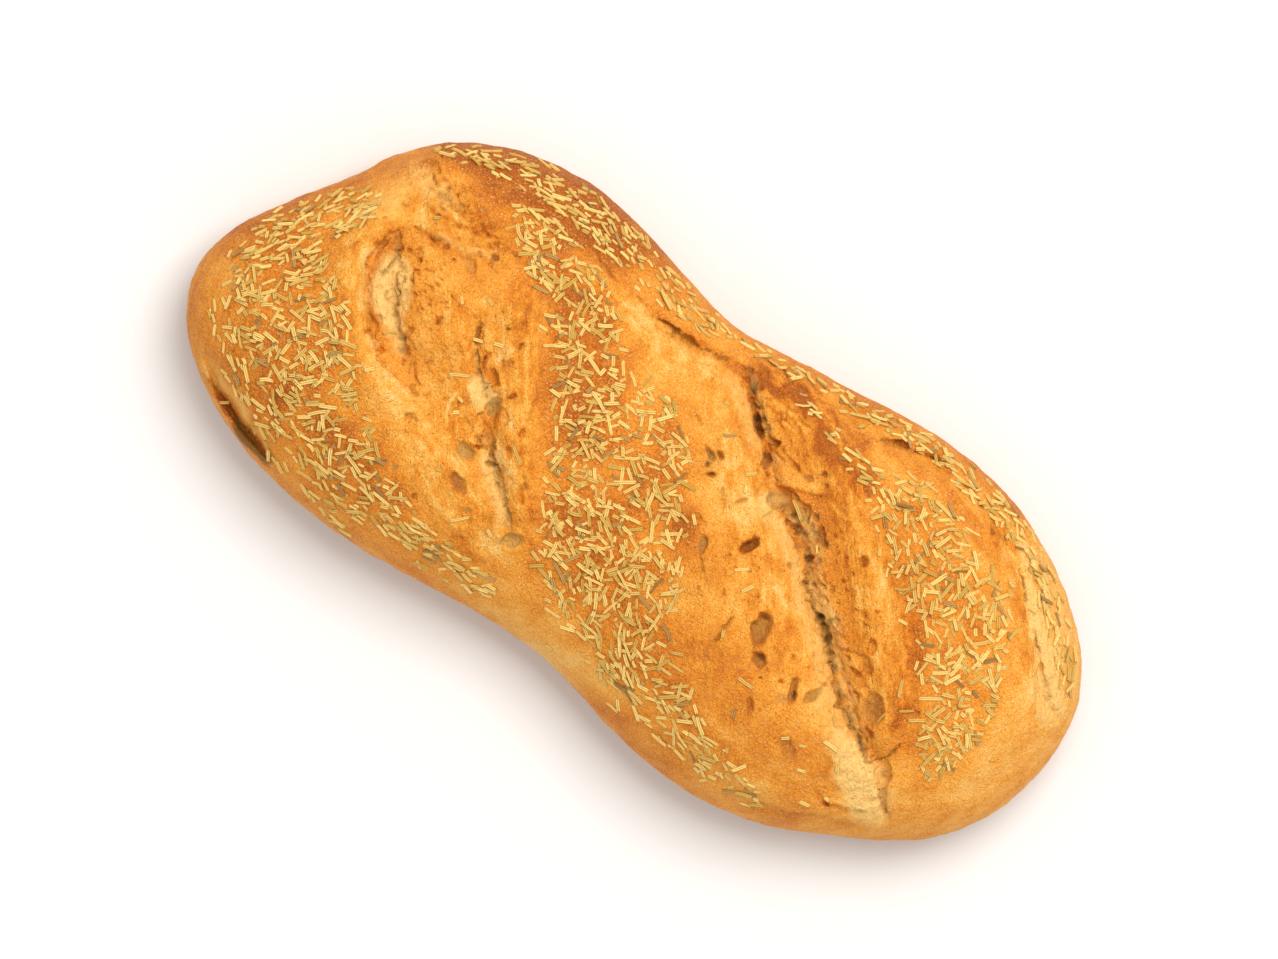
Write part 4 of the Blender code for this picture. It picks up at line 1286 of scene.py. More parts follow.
@dataclass
class LoafSkin:
    """The loaf's whole outside as one closed mesh with its tints at every corner."""

    form: LoafForm = field(default_factory=LoafForm)
    relief: CrustRelief = field(default_factory=CrustRelief)
    cells_long: int = 900
    cells_wide: int = 430
    quick_share: float = 0.5
    most_faces: int = 195000
    edge_fade: float = 6.0
    straight_within: Pair = (0.5, 2.0)
    foot_level: float = 0.8
    full_relief_level: float = 9.0
    side_level: float = 0.010
    top_level: float = 0.022
    side_toast: float = 0.55
    closing_steps: tuple[float, ...] = (0.94, 0.8, 0.5, 0.2)

    def __post_init__(self) -> None:
        """Takes the size and place of the loaf's solid from the frame."""
        low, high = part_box(NODE)
        self.low, self.high = np.array(low), np.array(high)

    def drawn(self, points: Array) -> Array:
        """Metres back to plan places of the drawing."""
        half = np.array([self.form.length, self.form.width]) * MM
        return points[:, :2] / ((self.high - self.low)[:2] / half) / MM

    def disc(self) -> Array:
        """A rectangular grid bent to fill the unit disc, with no pole.

        Returns:
            Its places, by row and column.
        """
        share = 1.0
        long, wide = int(self.cells_long * share), int(self.cells_wide * share)
        a, b = np.meshgrid(np.linspace(-1, 1, long + 1), np.linspace(-1, 1, wide + 1))
        return np.stack([a * np.sqrt(1 - b * b / 2), b * np.sqrt(1 - a * a / 2)], axis=-1)

    def plain_points(self, disc: Array) -> Array:
        """The dome and its ridges and furrows, down to the edge of the foot.

        Args:
            disc: places in the unit disc, one row each.

        Returns:
            The places in millimetres, one row each.
        """
        form = self.form
        out, turn = np.hypot(disc[:, 0], disc[:, 1]), np.arctan2(disc[:, 1], disc[:, 0])
        rim = form.outline_at(turn)
        crown = out < 1 - form.side_share
        plan = rim * form.crowded(np.clip(out / (1 - form.side_share), 0, 1))[:, None]
        near = 1e-3
        tangent = form.outline_at(turn + near) - form.outline_at(turn - near)
        inner = np.stack([-tangent[:, 1], tangent[:, 0]], axis=1)
        inner /= np.linalg.norm(inner, axis=1)[:, None]
        straight = np.einsum("ij,ij->i", plan - rim, inner)
        distance = straight + (form.distance(plan) - straight) * smooth_step(*self.straight_within, straight)
        distance = np.where(crown, distance, 0)
        height = form.dome(plan, distance)
        height += self.relief.main_forms(plan) * np.clip(distance / self.edge_fade, 0, 1) ** 0.5
        under = np.clip((out - (1 - form.side_share)) / form.side_share, 0, 1) * math.pi / 2
        side = rim + inner * (form.foot_inset * (1 - np.cos(under)))[:, None]
        level = self.foot_level + (form.widest_level - self.foot_level) * (1 - np.sin(under))
        plan = np.where(crown[:, None], plan, side)
        height = np.where(crown, height, level)
        return np.column_stack([plan, height])

    def displaced(self) -> tuple[Array, int, int]:
        """The outside with its fine relief, pushed out along the plain surface's normals.

        Returns:
            The places in millimetres as one row each, and the grid's rows and columns.
        """
        disc = self.disc()
        rows, columns, _ = disc.shape
        flat = disc.reshape(-1, 2)
        places = self.plain_points(flat)
        grid = places.reshape(rows, columns, 3)
        normal = np.cross(np.gradient(grid, axis=1), np.gradient(grid, axis=0)).reshape(-1, 3)
        normal /= np.linalg.norm(normal, axis=1)[:, None] + 1e-12
        marks = self.relief.fine(places[:, :2], places[:, 2])
        reach = smooth_step(0.0, self.full_relief_level, places[:, 2])
        return places + normal * (marks.rise * reach)[:, None], rows, columns

    def real_size(self, places: Array) -> Array:
        """Drawing to metres, fitted to the loaf's box in the frame.

        Args:
            places: the outside's places in millimetres.

        Returns:
            The places in metres.
        """
        low, high = places.min(axis=0), places.max(axis=0)
        middle = np.array([(low[0] + high[0]) / 2, (low[1] + high[1]) / 2, 0])
        size = np.array([self.form.length, self.form.width, self.form.height])
        return (places - middle) * size / (high - np.array([low[0], low[1], 0])) * MM

    def closed(self, places: Array, rows: int, columns: int) -> tuple[Array, Array]:
        """Adds the underside to the grid.

        Args:
            places: the grid's places, row by row.
            rows: how many rows.
            columns: how many columns.

        Returns:
            All places, and the four-cornered faces as rows of indices.
        """
        index = np.arange(rows * columns).reshape(rows, columns)
        top = np.stack([index[:-1, :-1], index[:-1, 1:], index[1:, 1:], index[1:, :-1]], axis=-1)
        border = np.concatenate([index[0, :-1], index[:-1, -1], index[-1, :0:-1], index[:0:-1, 0]])
        rings, faces = [places], [top.reshape(-1, 4)]
        last, count = border, len(places)
        for step in self.closing_steps:
            ring = places[border] * np.array([step, step, 0])
            rings.append(ring)
            fresh = np.arange(count, count + len(ring))
            faces.append(np.stack([np.roll(last, -1), last, fresh, np.roll(fresh, -1)], axis=1))
            last, count = fresh, count + len(ring)
        rings.append(np.zeros((1, 3)))
        middle = np.full(len(last), count)
        fan = np.stack([np.roll(last, -1)[::2], last[::2], middle[::2], np.roll(last, -2)[::2]], axis=1)
        faces.append(fan[:, [1, 2, 3, 0]])
        return np.concatenate(rings), np.concatenate(faces)

    def build(self) -> bpy.types.Object:
        """Makes the mesh, thins it out and writes the tints on it.

        Returns:
            The crust.
        """
        places, rows, columns = self.displaced()
        points, faces = self.closed(self.real_size(places), rows, columns)
        mesh = bpy.data.meshes.new("crust")
        mesh.vertices.add(len(points))
        mesh.vertices.foreach_set("co", points.ravel())
        mesh.loops.add(faces.size)
        mesh.loops.foreach_set("vertex_index", faces.ravel().astype(np.int32))
        mesh.polygons.add(len(faces))
        mesh.polygons.foreach_set("loop_start", np.arange(0, faces.size, 4, dtype=np.int32))
        mesh.update(calc_edges=True)
        mesh.validate()
        crust = bpy.data.objects.new("crust", mesh)
        bpy.context.scene.collection.objects.link(crust)
        share = self.most_faces / (2 * len(mesh.polygons))
        if share < 1:
            thinner = crust.modifiers.new("thin", "DECIMATE")
            thinner.ratio = share
            bpy.context.view_layer.objects.active = crust
            bpy.ops.object.modifier_apply(modifier=thinner.name)
        self.tint(crust.data)
        crust.data.shade_smooth()
        return crust

    def tint(self, mesh: bpy.types.Mesh) -> None:
        """Writes each tint as an attribute of the mesh's corners.

        Args:
            mesh: the crust's mesh.
        """
        co = np.empty(3 * len(mesh.vertices))
        mesh.vertices.foreach_get("co", co)
        co = co.reshape(-1, 3)
        marks = self.relief.fine(self.drawn(co), co[:, 2] / MM)
        on_top = smooth_step(self.side_level, self.top_level, co[:, 2])
        for tint, share in marks.tints.items():
            plain = self.side_toast if tint is Tint.TOAST else 0.0
            made = mesh.attributes.new(tint.value, "FLOAT", "POINT")
            made.data.foreach_set("value", (plain + (share - plain) * on_top).astype(np.float32))


class ShaderBench:
    """Adds nodes to one material and joins them."""

    def __init__(self, name: str) -> None:
        """Starts a material with an empty Principled surface.

        Args:
            name: the material's name.
        """
        self.material = bpy.data.materials.new(name)
        self.material.use_nodes = True
        self.tree = self.material.node_tree
        self.shader = self.tree.nodes["Principled BSDF"]
        self.place = self.add("ShaderNodeTexCoord").outputs["Object"]

    def add(self, kind: str, **settings: object) -> bpy.types.Node:
        """A new node with its settings.

        Args:
            kind: Blender's name of the node.
            settings: its settings by name.

        Returns:
            The node.
        """
        node = self.tree.nodes.new(kind)
        for name, value in settings.items():
            setattr(node, name, value)
        return node

    def join(self, source: Value, socket: Socket) -> None:
        """Joins an output, a number or a colour to an input."""
        if isinstance(source, Socket):
            self.tree.links.new(source, socket)
        elif isinstance(source, tuple):
            socket.default_value = (*source, 1.0) if socket.type == "RGBA" else source
        else:
            socket.default_value = source

    def tint(self, name: str) -> Socket:
        """A number that the mesh carries at every corner."""
        return self.add("ShaderNodeAttribute", attribute_name=name).outputs["Fac"]

    def noise(self, size: float, detail: float = 3.0, drawn: float = 1.0, turn: float = 0.0) -> Socket:
        """Cloudy noise.

        Args:
            size: width of its clouds in millimetres.
            detail: how many finer layers it has.
            drawn: how many times longer than wide the clouds are.
            turn: which way they are drawn out, in degrees from X.

        Returns:
            A number around 0.5.
        """
        turned = self.add("ShaderNodeMapping", vector_type="TEXTURE")
        self.join(self.place, turned.inputs["Vector"])
        self.join((drawn, 1.0, 1.0), turned.inputs["Scale"])
        self.join((0.0, 0.0, math.radians(turn)), turned.inputs["Rotation"])
        made = self.add("ShaderNodeTexNoise")
        self.join(turned.outputs["Vector"], made.inputs["Vector"])
        self.join(1 / (size * MM), made.inputs["Scale"])
        self.join(detail, made.inputs["Detail"])
        return made.outputs["Fac"]

    def grains(self, size: float) -> Socket:
        """Distance from scattered grains that lie about a size in millimetres apart.

        Args:
            size: the distance between them.

        Returns:
            The distances, in sizes.
        """
        made = self.add("ShaderNodeTexVoronoi")
        self.join(self.place, made.inputs["Vector"])
        self.join(1 / (size * MM), made.inputs["Scale"])
        return made.outputs["Distance"]

    def count(self, operation: str, *values: Value) -> Socket:
        """Arithmetic on numbers.

        Args:
            operation: Blender's name of it.
            values: what it takes.

        Returns:
            The result.
        """
        node = self.add("ShaderNodeMath", operation=operation)
        for socket, value in zip(node.inputs, values):
            self.join(value, socket)
        return node.outputs[0]

    def between(self, value: Value, low: float, high: float) -> Socket:
        """0 below low, 1 above high and an even slope between them. Low may be the larger one.

        Args:
            value: what is compared.
            low: where 0 ends.
            high: where 1 starts.

        Returns:
            The share.
        """
        node = self.add("ShaderNodeMapRange", clamp=True)
        for name, part in (("Value", value), ("From Min", low), ("From Max", high)):
            self.join(part, node.inputs[name])
        return node.outputs[0]

    def swing(self, value: Value, wave: Value, amount: Value) -> Socket:
        """A number that rises and falls by half an amount with a wave from 0 to 1."""
        return self.count("ADD", value, self.count("MULTIPLY", self.count("SUBTRACT", wave, 0.5), amount))

    def mix(self, share: Value, first: Value, second: Value) -> Socket:
        """Mixes two colours.

        Args:
            share: how much of the second.
            first: one colour.
            second: the other.

        Returns:
            The colour.
        """
        node = self.add("ShaderNodeMix", data_type="RGBA")
        self.join(share, node.inputs[0])
        self.join(first, node.inputs[6])
        self.join(second, node.inputs[7])
        return node.outputs[2]

    def ramp(self, value: Value, stops: tuple[tuple[float, Colour], ...]) -> Socket:
        """A colour for each value, eased between the stops.

        Args:
            value: from 0 to 1.
            stops: values with their colours.

        Returns:
            The colour.
        """
        node = self.add("ShaderNodeValToRGB")
        points = node.color_ramp.elements
        while len(points) < len(stops):
            points.new(0.5)
        for point, (place, colour) in zip(points, stops):
            point.position = place
            point.color = (*colour, 1.0)
        self.join(value, node.inputs[0])
        return node.outputs[0]

    def bump(self, height: Value, depth: float, before: Value | None = None) -> Socket:
        """A bumped normal, depth in millimetres.

        Args:
            height: from 0 to 1.
            depth: what a height of 1 stands for.
            before: the normal to start from.

        Returns:
            The normal.
        """
        node = self.add("ShaderNodeBump")
        self.join(depth * MM, node.inputs["Distance"])
        self.join(height, node.inputs["Height"])
        if before is not None:
            self.join(before, node.inputs["Normal"])
        return node.outputs[0]

    def finish(self, colour: Value, roughness: Value, normal: Value, specular: float) -> bpy.types.Material:
        """Joins the last results to the surface.

        Args:
            colour: the surface's colour.
            roughness: its roughness.
            normal: its bumped normal.
            specular: its sheen.

        Returns:
            The material.
        """
        self.join(colour, self.shader.inputs["Base Color"])
        self.join(roughness, self.shader.inputs["Roughness"])
        self.join(normal, self.shader.inputs["Normal"])
        self.shader.inputs["Specular IOR Level"].default_value = specular
        self.shader.inputs["Metallic"].default_value = 0.0
        return self.material


@dataclass(frozen=True)
class CrustFinish:
    """Baked crust from pale gold to deep brown, with cream crumb, grey bubble skins and dark cracks, the
    skins and cracks partly painted shade.
    """

    toasts: tuple[tuple[float, Colour], ...] = (
        (0.0, (0.89, 0.53, 0.165)),
        (0.3, (0.85, 0.375, 0.054)),
        (0.5, (0.77, 0.272, 0.023)),
        (0.75, (0.61, 0.172, 0.011)),
        (1.0, (0.36, 0.075, 0.005)),
    )
    cream: Colour = (0.94, 0.59, 0.195)
    beige: Colour = (0.78, 0.42, 0.10)
    # Olive grey of bubble skins, also laid as painted shade along seams and cracks.
    skin: Colour = (0.44, 0.27, 0.075)
    # Dark brown of holes, cracks and pinholes: partly scorch, partly painted shade.
    ember: Colour = (0.19, 0.095, 0.014)
    blister: Colour = (0.94, 0.55, 0.21)
    crust_roughness: float = 0.6
    crumb_roughness: float = 0.9
    specular: float = 0.12
    strand_turn: float = -54.0

    def material(self) -> bpy.types.Material:
        """Makes the material.

        Returns:
            The material.
        """
        bench = ShaderBench("baked crust")
        crumb, torn = bench.tint(Tint.CRUMB.value), bench.tint(Tint.TORN.value)
        cloud = bench.between(bench.noise(1.8, 3.0), 0.34, 0.66)
        fleck = bench.between(bench.noise(0.5, 2.0), 0.36, 0.64)
        strand = bench.between(bench.noise(0.8, 2.0, 9.0, self.strand_turn), 0.36, 0.64)
        toast = bench.swing(bench.tint(Tint.TOAST.value), cloud, 0.12)
        toast = bench.swing(toast, fleck, 0.34)
        toast = bench.swing(toast, strand, bench.count("MULTIPLY", torn, 0.14))
        colour = bench.ramp(toast, self.toasts)
        blisters = bench.between(bench.grains(1.0), 0.42, 0.14)
        clouded = bench.count("MULTIPLY", blisters, cloud)
        bloom = bench.count("MULTIPLY", clouded, bench.swing(0.32, torn, -0.54))
        colour = bench.mix(bloom, colour, self.blister)
        # Tiny dark pricks: painted shade of pinholes too small for the mesh.
        pricks = bench.between(bench.grains(2.3), 0.11, 0.05)
        colour = bench.mix(bench.count("MULTIPLY", pricks, 0.35), colour, self.ember)
        bare = bench.between(bench.swing(bench.swing(crumb, fleck, 0.45), strand, 0.2), 0.15, 0.75)
        baked = bench.mix(bench.count("MULTIPLY", cloud, 0.6), self.cream, self.beige)
        colour = bench.mix(bare, colour, baked)
        # Olive grey: bubble skins, and painted shade along seams and cracks.
        olive_skin_and_shade = bench.swing(bench.tint(Tint.SKIN.value), fleck, 0.3)
        colour = bench.mix(bench.count("MULTIPLY", olive_skin_and_shade, 0.8), colour, self.skin)
        # Holes and cracks darkened: partly scorch, partly painted shade.
        colour = bench.mix(bench.between(bench.tint(Tint.EMBER.value), 0.0, 0.9), colour, self.ember)
        normal = bench.bump(bench.noise(1.3, 3.0), 0.55)
        normal = bench.bump(bench.noise(0.45, 2.0), 0.5, normal)
        normal = bench.bump(bench.between(bench.grains(1.4), 0.5, 0.0), 0.16, normal)
        normal = bench.bump(bench.count("MULTIPLY", strand, torn), 0.15, normal)
        rougher = bench.count("MULTIPLY", crumb, self.crumb_roughness - self.crust_roughness)
        sheen = bench.count("ADD", rougher, self.crust_roughness)
        return bench.finish(colour, sheen, normal, self.specular)


class NeedleKind(Enum):
    """How far a rosemary needle has dried and browned."""

    STRAW = "straw"
    BROWNED = "browned"


@dataclass(frozen=True)
class NeedleFinish:
    """Dried rosemary: a ridged strip, darker down its middle and, as painted shade, along its rolled edges,
    from one colour to another by needle.
    """

    name: str
    darker: Colour
    lighter: Colour
    groove_and_edge_shade: Colour
    roughness: float = 0.62

    def material(self) -> bpy.types.Material:
        """Makes the material.

        Returns:
            The material.
        """
        bench = ShaderBench(self.name)
        colour = bench.mix(bench.tint("tone"), self.darker, self.lighter)
        across = bench.count("ABSOLUTE", bench.tint("across"))
        along = bench.count("ABSOLUTE", bench.tint("along"))
        streaks = bench.between(bench.noise(0.6, 2.0), 0.45, 0.75)
        middle = bench.between(across, 0.26, 0.05)
        # The rolled edges are darkened as painted shade of their undersides.
        edges = bench.between(across, 0.78, 1.0)
        tips = bench.between(along, 0.8, 1.0)
        for part, share in ((streaks, 0.35), (middle, 0.7), (edges, 0.8), (tips, 0.35)):
            colour = bench.mix(bench.count("MULTIPLY", part, share), colour, self.groove_and_edge_shade)
        normal = bench.bump(bench.noise(0.4, 2.0), 0.12)
        return bench.finish(colour, self.roughness, normal, 0.3)


@dataclass(frozen=True)
class NeedleShape:
    """One dried needle: a strip with rolled-under edges and a grooved back, broken off at both ends."""

    section: tuple[Pair, ...] = (
        (-0.5, 0.02), (-0.45, 0.30), (-0.26, 0.38), (0.0, 0.20), (0.26, 0.38), (0.45, 0.30), (0.5, 0.02),
        (0.0, -0.2),
    )
    rings: tuple[Pair, ...] = ((-1.0, 0.88), (-0.9, 1.0), (0.0, 1.0), (0.9, 0.96), (1.0, 0.84))
    thickness: float = 1.15
    straight_share: float = 0.8
    bend: float = 0.018
    crooked_bend: float = 0.07
    arch: float = 0.012
    slant: float = 0.22

    def corners(self, rng: np.random.Generator, length: float, width: float) -> tuple[Array, Array]:
        """Corners of a needle that lies along X with its back up, in millimetres.

        Args:
            rng: random source for its bend and its broken ends.
            length: from end to end.
            width: across.

        Returns:
            The places, ring by ring, and for each the share across and along.
        """
        section, rings = np.array(self.section), np.array(self.rings)
        bend = rng.normal(0, self.bend if rng.uniform() < self.straight_share else self.crooked_bend)
        arch = rng.normal(0, self.arch)
        slant = rng.normal(0, self.slant, 2)
        places, shares = [], []
        for k, (along, wide) in enumerate(rings):
            cut = slant[0] if k == 0 else slant[1] if k == len(rings) - 1 else 0.0
            x = along * length / 2 + cut * section[:, 0] * width
            y = section[:, 0] * width * wide + bend * length * (along**2 - 0.4)
            z = section[:, 1] * width * self.thickness * (0.6 + 0.4 * wide) + arch * length * (0.4 - along**2)
            places.append(np.stack([x, y, z], axis=1))
            shares.append(np.stack([2 * section[:, 0], np.full(len(section), along)], axis=1))
        return np.concatenate(places), np.concatenate(shares)

    def faces(self) -> Array:
        """Three-cornered faces of one needle.

        Returns:
            Three corner indices a row.
        """
        n, rings = len(self.section), len(self.rings)
        made = []
        for k in range(rings - 1):
            for i in range(n):
                j = (i + 1) % n
                a, b, c, d = k * n + i, k * n + j, (k + 1) * n + j, (k + 1) * n + i
                made += [(a, b, c), (a, c, d)]
        last = (rings - 1) * n
        for i in range(1, n - 1):
            made += [(0, i + 1, i), (last, last + i, last + i + 1)]
        return np.array(made)


@dataclass
class Bed:
    """Height map of the crust and of the needles already lying on it, in millimetres of the drawing."""

    step: float = 0.5
    half_long: float = 150.0
    half_wide: float = 72.0

    def __post_init__(self) -> None:
        """Starts empty maps."""
        shape = (int(2 * self.half_long / self.step) + 1, int(2 * self.half_wide / self.step) + 1)
        self.top = np.full(shape, -1.0)
        self.crust = self.top.copy()

    def cells(self, points: Array) -> tuple[Array, Array]:
        """Cell indices of plan places.

        Args:
            points: plan places.

        Returns:
            The indices along and across.
        """
        shift = np.array([self.half_long, self.half_wide])
        index = np.rint((points[:, :2] + shift) / self.step).astype(int)
        i, j = np.clip(index, 0, np.array(self.top.shape) - 1).T
        return i, j

    def lay_crust(self, places: Array) -> None:
        """Fills the maps with the crust's highest places.

        Args:
            places: the crust's places in millimetres.
        """
        i, j = self.cells(places[:, :2])
        np.maximum.at(self.crust, (i, j), places[:, 2])
        self.top = self.crust.copy()

    def slope(self, at: Array) -> Pair:
        """Steepness of the crust at a plan place, and the direction in radians in which it runs level.

        Args:
            at: the plan place.

        Returns:
            The rise for each millimetre, and the direction.
        """
        reach = 3 * self.step
        height = self.crust[self.cells(at + reach * np.array([[1, 0], [-1, 0], [0, 1], [0, -1]]))]
        along_x, along_y = (height[0] - height[1]) / (2 * reach), (height[2] - height[3]) / (2 * reach)
        return math.hypot(along_x, along_y), math.atan2(along_y, along_x) + math.pi / 2

    def raise_to(self, places: Array) -> None:
        """Raises the top under a needle that has come to lie there."""
        i, j = self.cells(places[:, :2])
        np.maximum.at(self.top, (i, j), places[:, 2])


@dataclass
class NeedleStrewing:
    """Dried needles strewn over the bands, each resting on the crust or on needles that fell before it."""

    strewing: Strewing = field(default_factory=Strewing)
    shape: NeedleShape = field(default_factory=NeedleShape)
    count: int = 2200
    lengths: Pair = (1.4, 7.4)
    widths: Pair = (0.75, 1.25)
    sunk: float = 0.12
    straw_share: float = 0.93
    dark_ones: tuple[tuple[float, float, float, float, float], ...] = ((53.3, 42.2, -22, 5.8, 0.75),)
    drift: float = 1.6
    most_covered: float = 0.25
    slippery: float = 0.7
    steepest: float = 1.7
    lowest: float = 9.0
    seed: int = 29
    field_half: Pair = (146.0, 68.0)
    tries_each: int = 40
    fullest: float = 0.95
    short_lean: Pair = (1.7, 2.5)
    drift_size: float = 40.0
    main_turn: float = -0.6
    turn_stray: float = 0.9
    level_stray: float = 0.35
    on_others: float = 0.15
    side_reach: float = 1.2
    roll: float = 0.12
    pale_lean: Pair = (1.2, 1.0)

    def places(self, rng: np.random.Generator) -> Array:
        """Plan places, as thick as the bands ask.

        Args:
            rng: random source.

        Returns:
            One row for each needle.
        """
        far = np.array(self.field_half)
        tries = rng.uniform(-far, far, (self.count * self.tries_each, 2))
        wanted = self.strewing.density(tries)
        return tries[rng.uniform(0, self.fullest, len(tries)) < wanted]

    def rest(self, bed: Bed, at: Array, turn: float, half: float) -> tuple[float, float, float] | None:
        """How a stiff needle comes to lie on what is under it.

        Args:
            bed: the height map.
            at: plan place of its middle.
            turn: its direction in radians.
            half: half its length.

        Returns:
            Height of its middle, its rise for each millimetre and its sideways slope, or None if nothing
            holds it.
        """
        way = np.array([math.cos(turn), math.sin(turn)])
        side = np.array([-way[1], way[0]])
        t = np.linspace(-half, half, 9)
        cells = bed.cells(at + t[:, None] * way)
        under = bed.top[cells]
        covered = (under - bed.crust[cells] > self.on_others).mean()
        if under.min() < self.lowest or covered > self.most_covered:
            return None
        middle, left, right = under[4], under[:4], under[5:]
        tl, tr = t[:4], t[5:]
        held = (left[:, None] * tr[None] - right[None] * tl[:, None]) / (tr[None] - tl[:, None])
        height = max(middle, held.max())
        lowest = ((right - height) / tr).max()
        highest = ((height - left) / -tl).min()
        rise = float(np.clip(np.polyfit(t, under, 1)[0], min(lowest, highest), max(lowest, highest)))
        crust = bed.crust[bed.cells(at + self.side_reach * np.array([[-1], [1]]) * side)]
        lean = float(np.clip((crust[1] - crust[0]) / (2 * self.side_reach), -1, 1))
        if crust.min() < self.lowest or abs(rise) > self.steepest:
            return None
        return height, rise, lean

    def strew(self, crust: bpy.types.Object) -> list[bpy.types.Object]:
        """Lays every needle and joins those of a kind to one piece.

        Args:
            crust: the finished crust mesh.

        Returns:
            One object for each kind.
        """
        rng = np.random.default_rng(self.seed)
        bed = Bed()
        bed.lay_crust(self.fine_places(crust))
        kinds = {kind: ([], []) for kind in NeedleKind}
        for x, y, turn, length, width in self.dark_ones:
            laid = self.lay(bed, rng, np.array([x, y]), math.radians(turn), length, width)
            if laid is not None:
                kinds[NeedleKind.BROWNED][0].append(laid[0])
                kinds[NeedleKind.BROWNED][1].append(laid[1])
        for at in self.places(rng):
            if sum(len(places) for places, _ in kinds.values()) == self.count:
                break
            length = self.lengths[0] + (self.lengths[1] - self.lengths[0]) * rng.beta(*self.short_lean)
            width = rng.uniform(*self.widths)
            drift = self.drift * float(swell(at[None], self.drift_size, 77)[0])
            turn = drift + self.main_turn + rng.normal(0, self.turn_stray)
            steepness, level = bed.slope(at)
            if steepness > self.slippery:
                turn = level + rng.normal(0, self.level_stray)
            laid = self.lay(bed, rng, at, turn, length, width)
            if laid is not None:
                kind = NeedleKind.STRAW if rng.uniform() < self.straw_share else NeedleKind.BROWNED
                kinds[kind][0].append(laid[0])
                kinds[kind][1].append(laid[1])
        return [self.joined(kind, *parts) for kind, parts in kinds.items()]

    def lay(
        self, bed: Bed, rng: np.random.Generator, at: Array, turn: float, length: float, width: float
    ) -> tuple[Array, Array] | None:
        """Lays one needle down.

        Args:
            bed: the height map, raised where the needle comes to lie.
            rng: random source.
            at: plan place of its middle.
            turn: its direction in radians.
            length: from end to end.
            width: across.

        Returns:
            Its corners, and for each the share across, the share along and the needle's tone, or None if
            nothing holds it.
        """
        found = self.rest(bed, at, turn, length / 2)
        if found is None:
            return None
        height, rise, lean = found
        way = np.array([math.cos(turn), math.sin(turn), rise])
        way /= np.linalg.norm(way)
        side = np.array([-math.sin(turn), math.cos(turn), lean + rng.normal(0, self.roll)])
        side -= way * (side @ way)
        side /= np.linalg.norm(side)
        up = np.cross(way, side)
        places, shares = self.shape.corners(rng, length, width)
        places = places @ np.stack([way, side, up])
        places += np.array([at[0], at[1], height]) - up * self.sunk
        bed.raise_to(places)
        tone = np.full((len(places), 1), rng.beta(*self.pale_lean))
        return places, np.hstack([shares, tone])

    def fine_places(self, crust: bpy.types.Object) -> Array:
        """The crust's places on a lattice fine enough for the height map, in millimetres.

        Args:
            crust: the finished crust mesh.

        Returns:
            One row for each place.
        """
        tree = BVHTree.FromObject(crust, bpy.context.evaluated_depsgraph_get())
        bed = Bed()
        xs = np.arange(-bed.half_long, bed.half_long, bed.step)
        ys = np.arange(-bed.half_wide, bed.half_wide, bed.step)
        found = []
        down = Vector((0, 0, -1))
        for x in xs:
            for y in ys:
                hit = tree.ray_cast(Vector((x * MM, y * MM, 1.0)), down)[0]
                if hit is not None:
                    found.append((x, y, hit.z / MM))
        return np.array(found)

    def joined(self, kind: NeedleKind, places: list, shares: list) -> bpy.types.Object:
        """One mesh of all needles of a kind.

        Args:
            kind: which kind.
            places: corners of each needle in millimetres.
            shares: for each corner the share across, the share along and the needle's tone.

        Returns:
            The object.
        """
        faces = self.shape.faces()
        corners = len(places[0])
        every = np.concatenate([faces + corners * k for k in range(len(places))])
        points, facts = np.concatenate(places) * MM, np.concatenate(shares)
        mesh = bpy.data.meshes.new(f"{kind.value}_needles")
        mesh.vertices.add(len(points))
        mesh.vertices.foreach_set("co", points.ravel())
        mesh.loops.add(every.size)
        mesh.loops.foreach_set("vertex_index", every.ravel().astype(np.int32))
        mesh.polygons.add(len(every))
        mesh.polygons.foreach_set("loop_start", np.arange(0, every.size, 3, dtype=np.int32))
        mesh.update(calc_edges=True)
        for column, name in enumerate(("across", "along", "tone")):
            made = mesh.attributes.new(name, "FLOAT", "POINT")
            made.data.foreach_set("value", facts[:, column].astype(np.float32))
        mesh.shade_smooth()
        mesh.set_sharp_from_angle(angle=math.radians(60))
        needles = bpy.data.objects.new(mesh.name, mesh)
        bpy.context.scene.collection.objects.link(needles)
        return needles


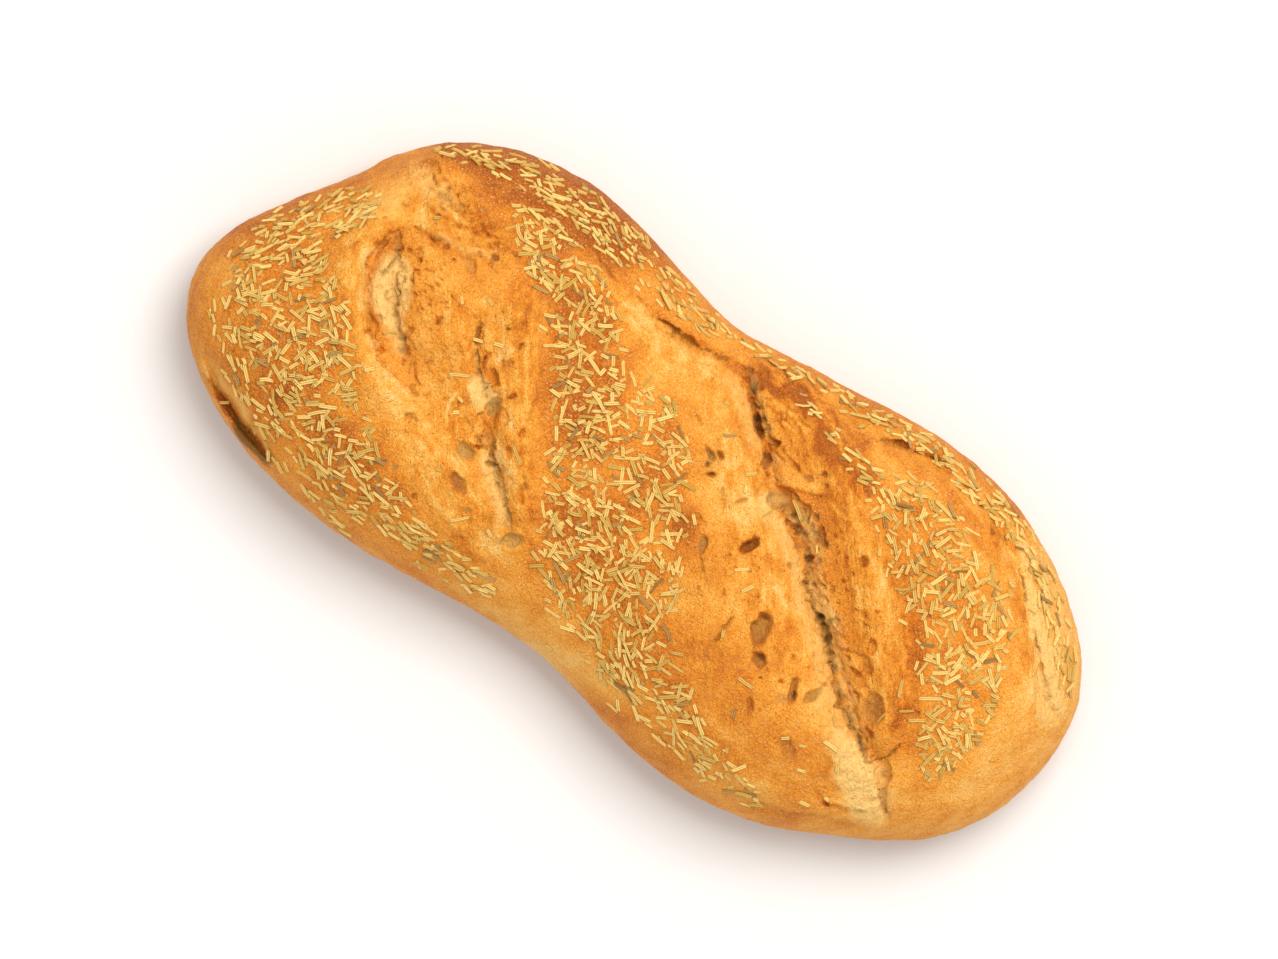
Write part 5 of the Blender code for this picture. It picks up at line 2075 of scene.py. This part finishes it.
@dataclass(frozen=True)
class Studio:
    """Plain pale floor, soft light from behind and from above, and the camera straight over the loaf."""

    floor_colour: Colour = (0.78, 0.77, 0.75)
    floor_size: float = 6.0
    floor_gap: float = 0.0004
    light_turn: float = 80.0
    light_rise: float = 66.0
    light_far: float = 2.2
    light_size: float = 1.2
    light_power: float = 38.0
    light_colour: Colour = (1.0, 0.98, 0.95)
    sky: float = 0.8
    camera_roll: float = 33.5
    camera_far: float = 3.0
    camera_place: Pair = (-0.0003, 0.0025)
    seen_width: float = 0.377
    sharp_level: float = 0.017
    sensor: float = 36.0

    def floor(self) -> bpy.types.Object:
        """A pale matt floor.

        Returns:
            The floor.
        """
        half = self.floor_size / 2
        mesh = bpy.data.meshes.new("floor")
        places = [(-half, -half, 0), (half, -half, 0), (half, half, 0), (-half, half, 0)]
        mesh.from_pydata(places, [], [(0, 1, 2, 3)])
        floor = bpy.data.objects.new("floor", mesh)
        floor.location.z = -self.floor_gap
        paint = bpy.data.materials.new("floor")
        paint.use_nodes = True
        shader = paint.node_tree.nodes["Principled BSDF"]
        shader.inputs["Base Color"].default_value = (*self.floor_colour, 1.0)
        shader.inputs["Roughness"].default_value = 0.9
        mesh.materials.append(paint)
        bpy.context.scene.collection.objects.link(floor)
        return floor

    def light(self) -> bpy.types.Object:
        """The large soft lamp.

        Returns:
            The lamp.
        """
        lamp = bpy.data.lights.new("window", "AREA")
        lamp.size = self.light_size
        lamp.energy = self.light_power
        lamp.color = self.light_colour
        turn, rise = math.radians(self.light_turn), math.radians(self.light_rise)
        way = Vector((math.cos(turn) * math.cos(rise), math.sin(turn) * math.cos(rise), math.sin(rise)))
        light = bpy.data.objects.new("window", lamp)
        light.location = way * self.light_far
        light.rotation_euler = way.to_track_quat("Z", "Y").to_euler()
        bpy.context.scene.collection.objects.link(light)
        return light

    def surroundings(self) -> None:
        """Even white light from all round, and colours shown as they are."""
        world = bpy.data.worlds.new("room")
        world.use_nodes = True
        world.node_tree.nodes["Background"].inputs["Color"].default_value = (1.0, 1.0, 1.0, 1.0)
        world.node_tree.nodes["Background"].inputs["Strength"].default_value = self.sky
        bpy.context.scene.world = world
        bpy.context.scene.view_settings.view_transform = "Standard"

    def camera(self) -> bpy.types.Object:
        """The camera at the photo's viewing angle, which is straight down with the loaf lying aslant.

        Returns:
            The camera.
        """
        lens = bpy.data.cameras.new("camera")
        lens.sensor_width = self.sensor
        lens.lens = self.sensor * (self.camera_far - self.sharp_level) / self.seen_width
        lens.clip_end = 20.0
        camera = bpy.data.objects.new("camera", lens)
        place = Matrix.Translation((*self.camera_place, self.camera_far))
        camera.matrix_world = Matrix.Rotation(math.radians(self.camera_roll), 4, "Z") @ place
        bpy.context.scene.collection.objects.link(camera)
        bpy.context.scene.camera = camera
        return camera


def corners(box: tuple[Vector, Vector]) -> list[list[float]]:
    """A box's lowest and highest corners as plain lists."""
    return [[float(value) for value in corner] for corner in box]


def main() -> None:
    """Builds the loaf and its studio, and writes how far the looks reach past the solid."""
    logging.basicConfig(level=logging.INFO, format="%(message)s")
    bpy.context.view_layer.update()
    studio = Studio()
    studio.floor()
    studio.light()
    studio.surroundings()
    studio.camera()
    skin = LoafSkin()
    crust = skin.build()
    crust.data.materials.append(CrustFinish().material())
    LOG.info("crust: %d faces", len(crust.data.polygons))
    # The third colour of each darkens the needle's middle line, streaks and tips, and as painted shade its
    # rolled edges.
    finishes = {
        NeedleKind.STRAW: NeedleFinish(
            "straw needles", (0.58, 0.345, 0.06), (0.96, 0.68, 0.215), (0.36, 0.18, 0.022)
        ),
        NeedleKind.BROWNED: NeedleFinish(
            "browned needles", (0.33, 0.17, 0.045), (0.56, 0.33, 0.09), (0.20, 0.09, 0.02)
        ),
    }
    needles = NeedleStrewing().strew(crust)
    for kind, piece in zip(NeedleKind, needles):
        piece.data.materials.append(finishes[kind].material())
        LOG.info("%s: %d faces", piece.name, len(piece.data.polygons))
    for piece in (crust, *needles):
        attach(piece, BODY)
        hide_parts(NODE)


if __name__ == "__main__":
    main()
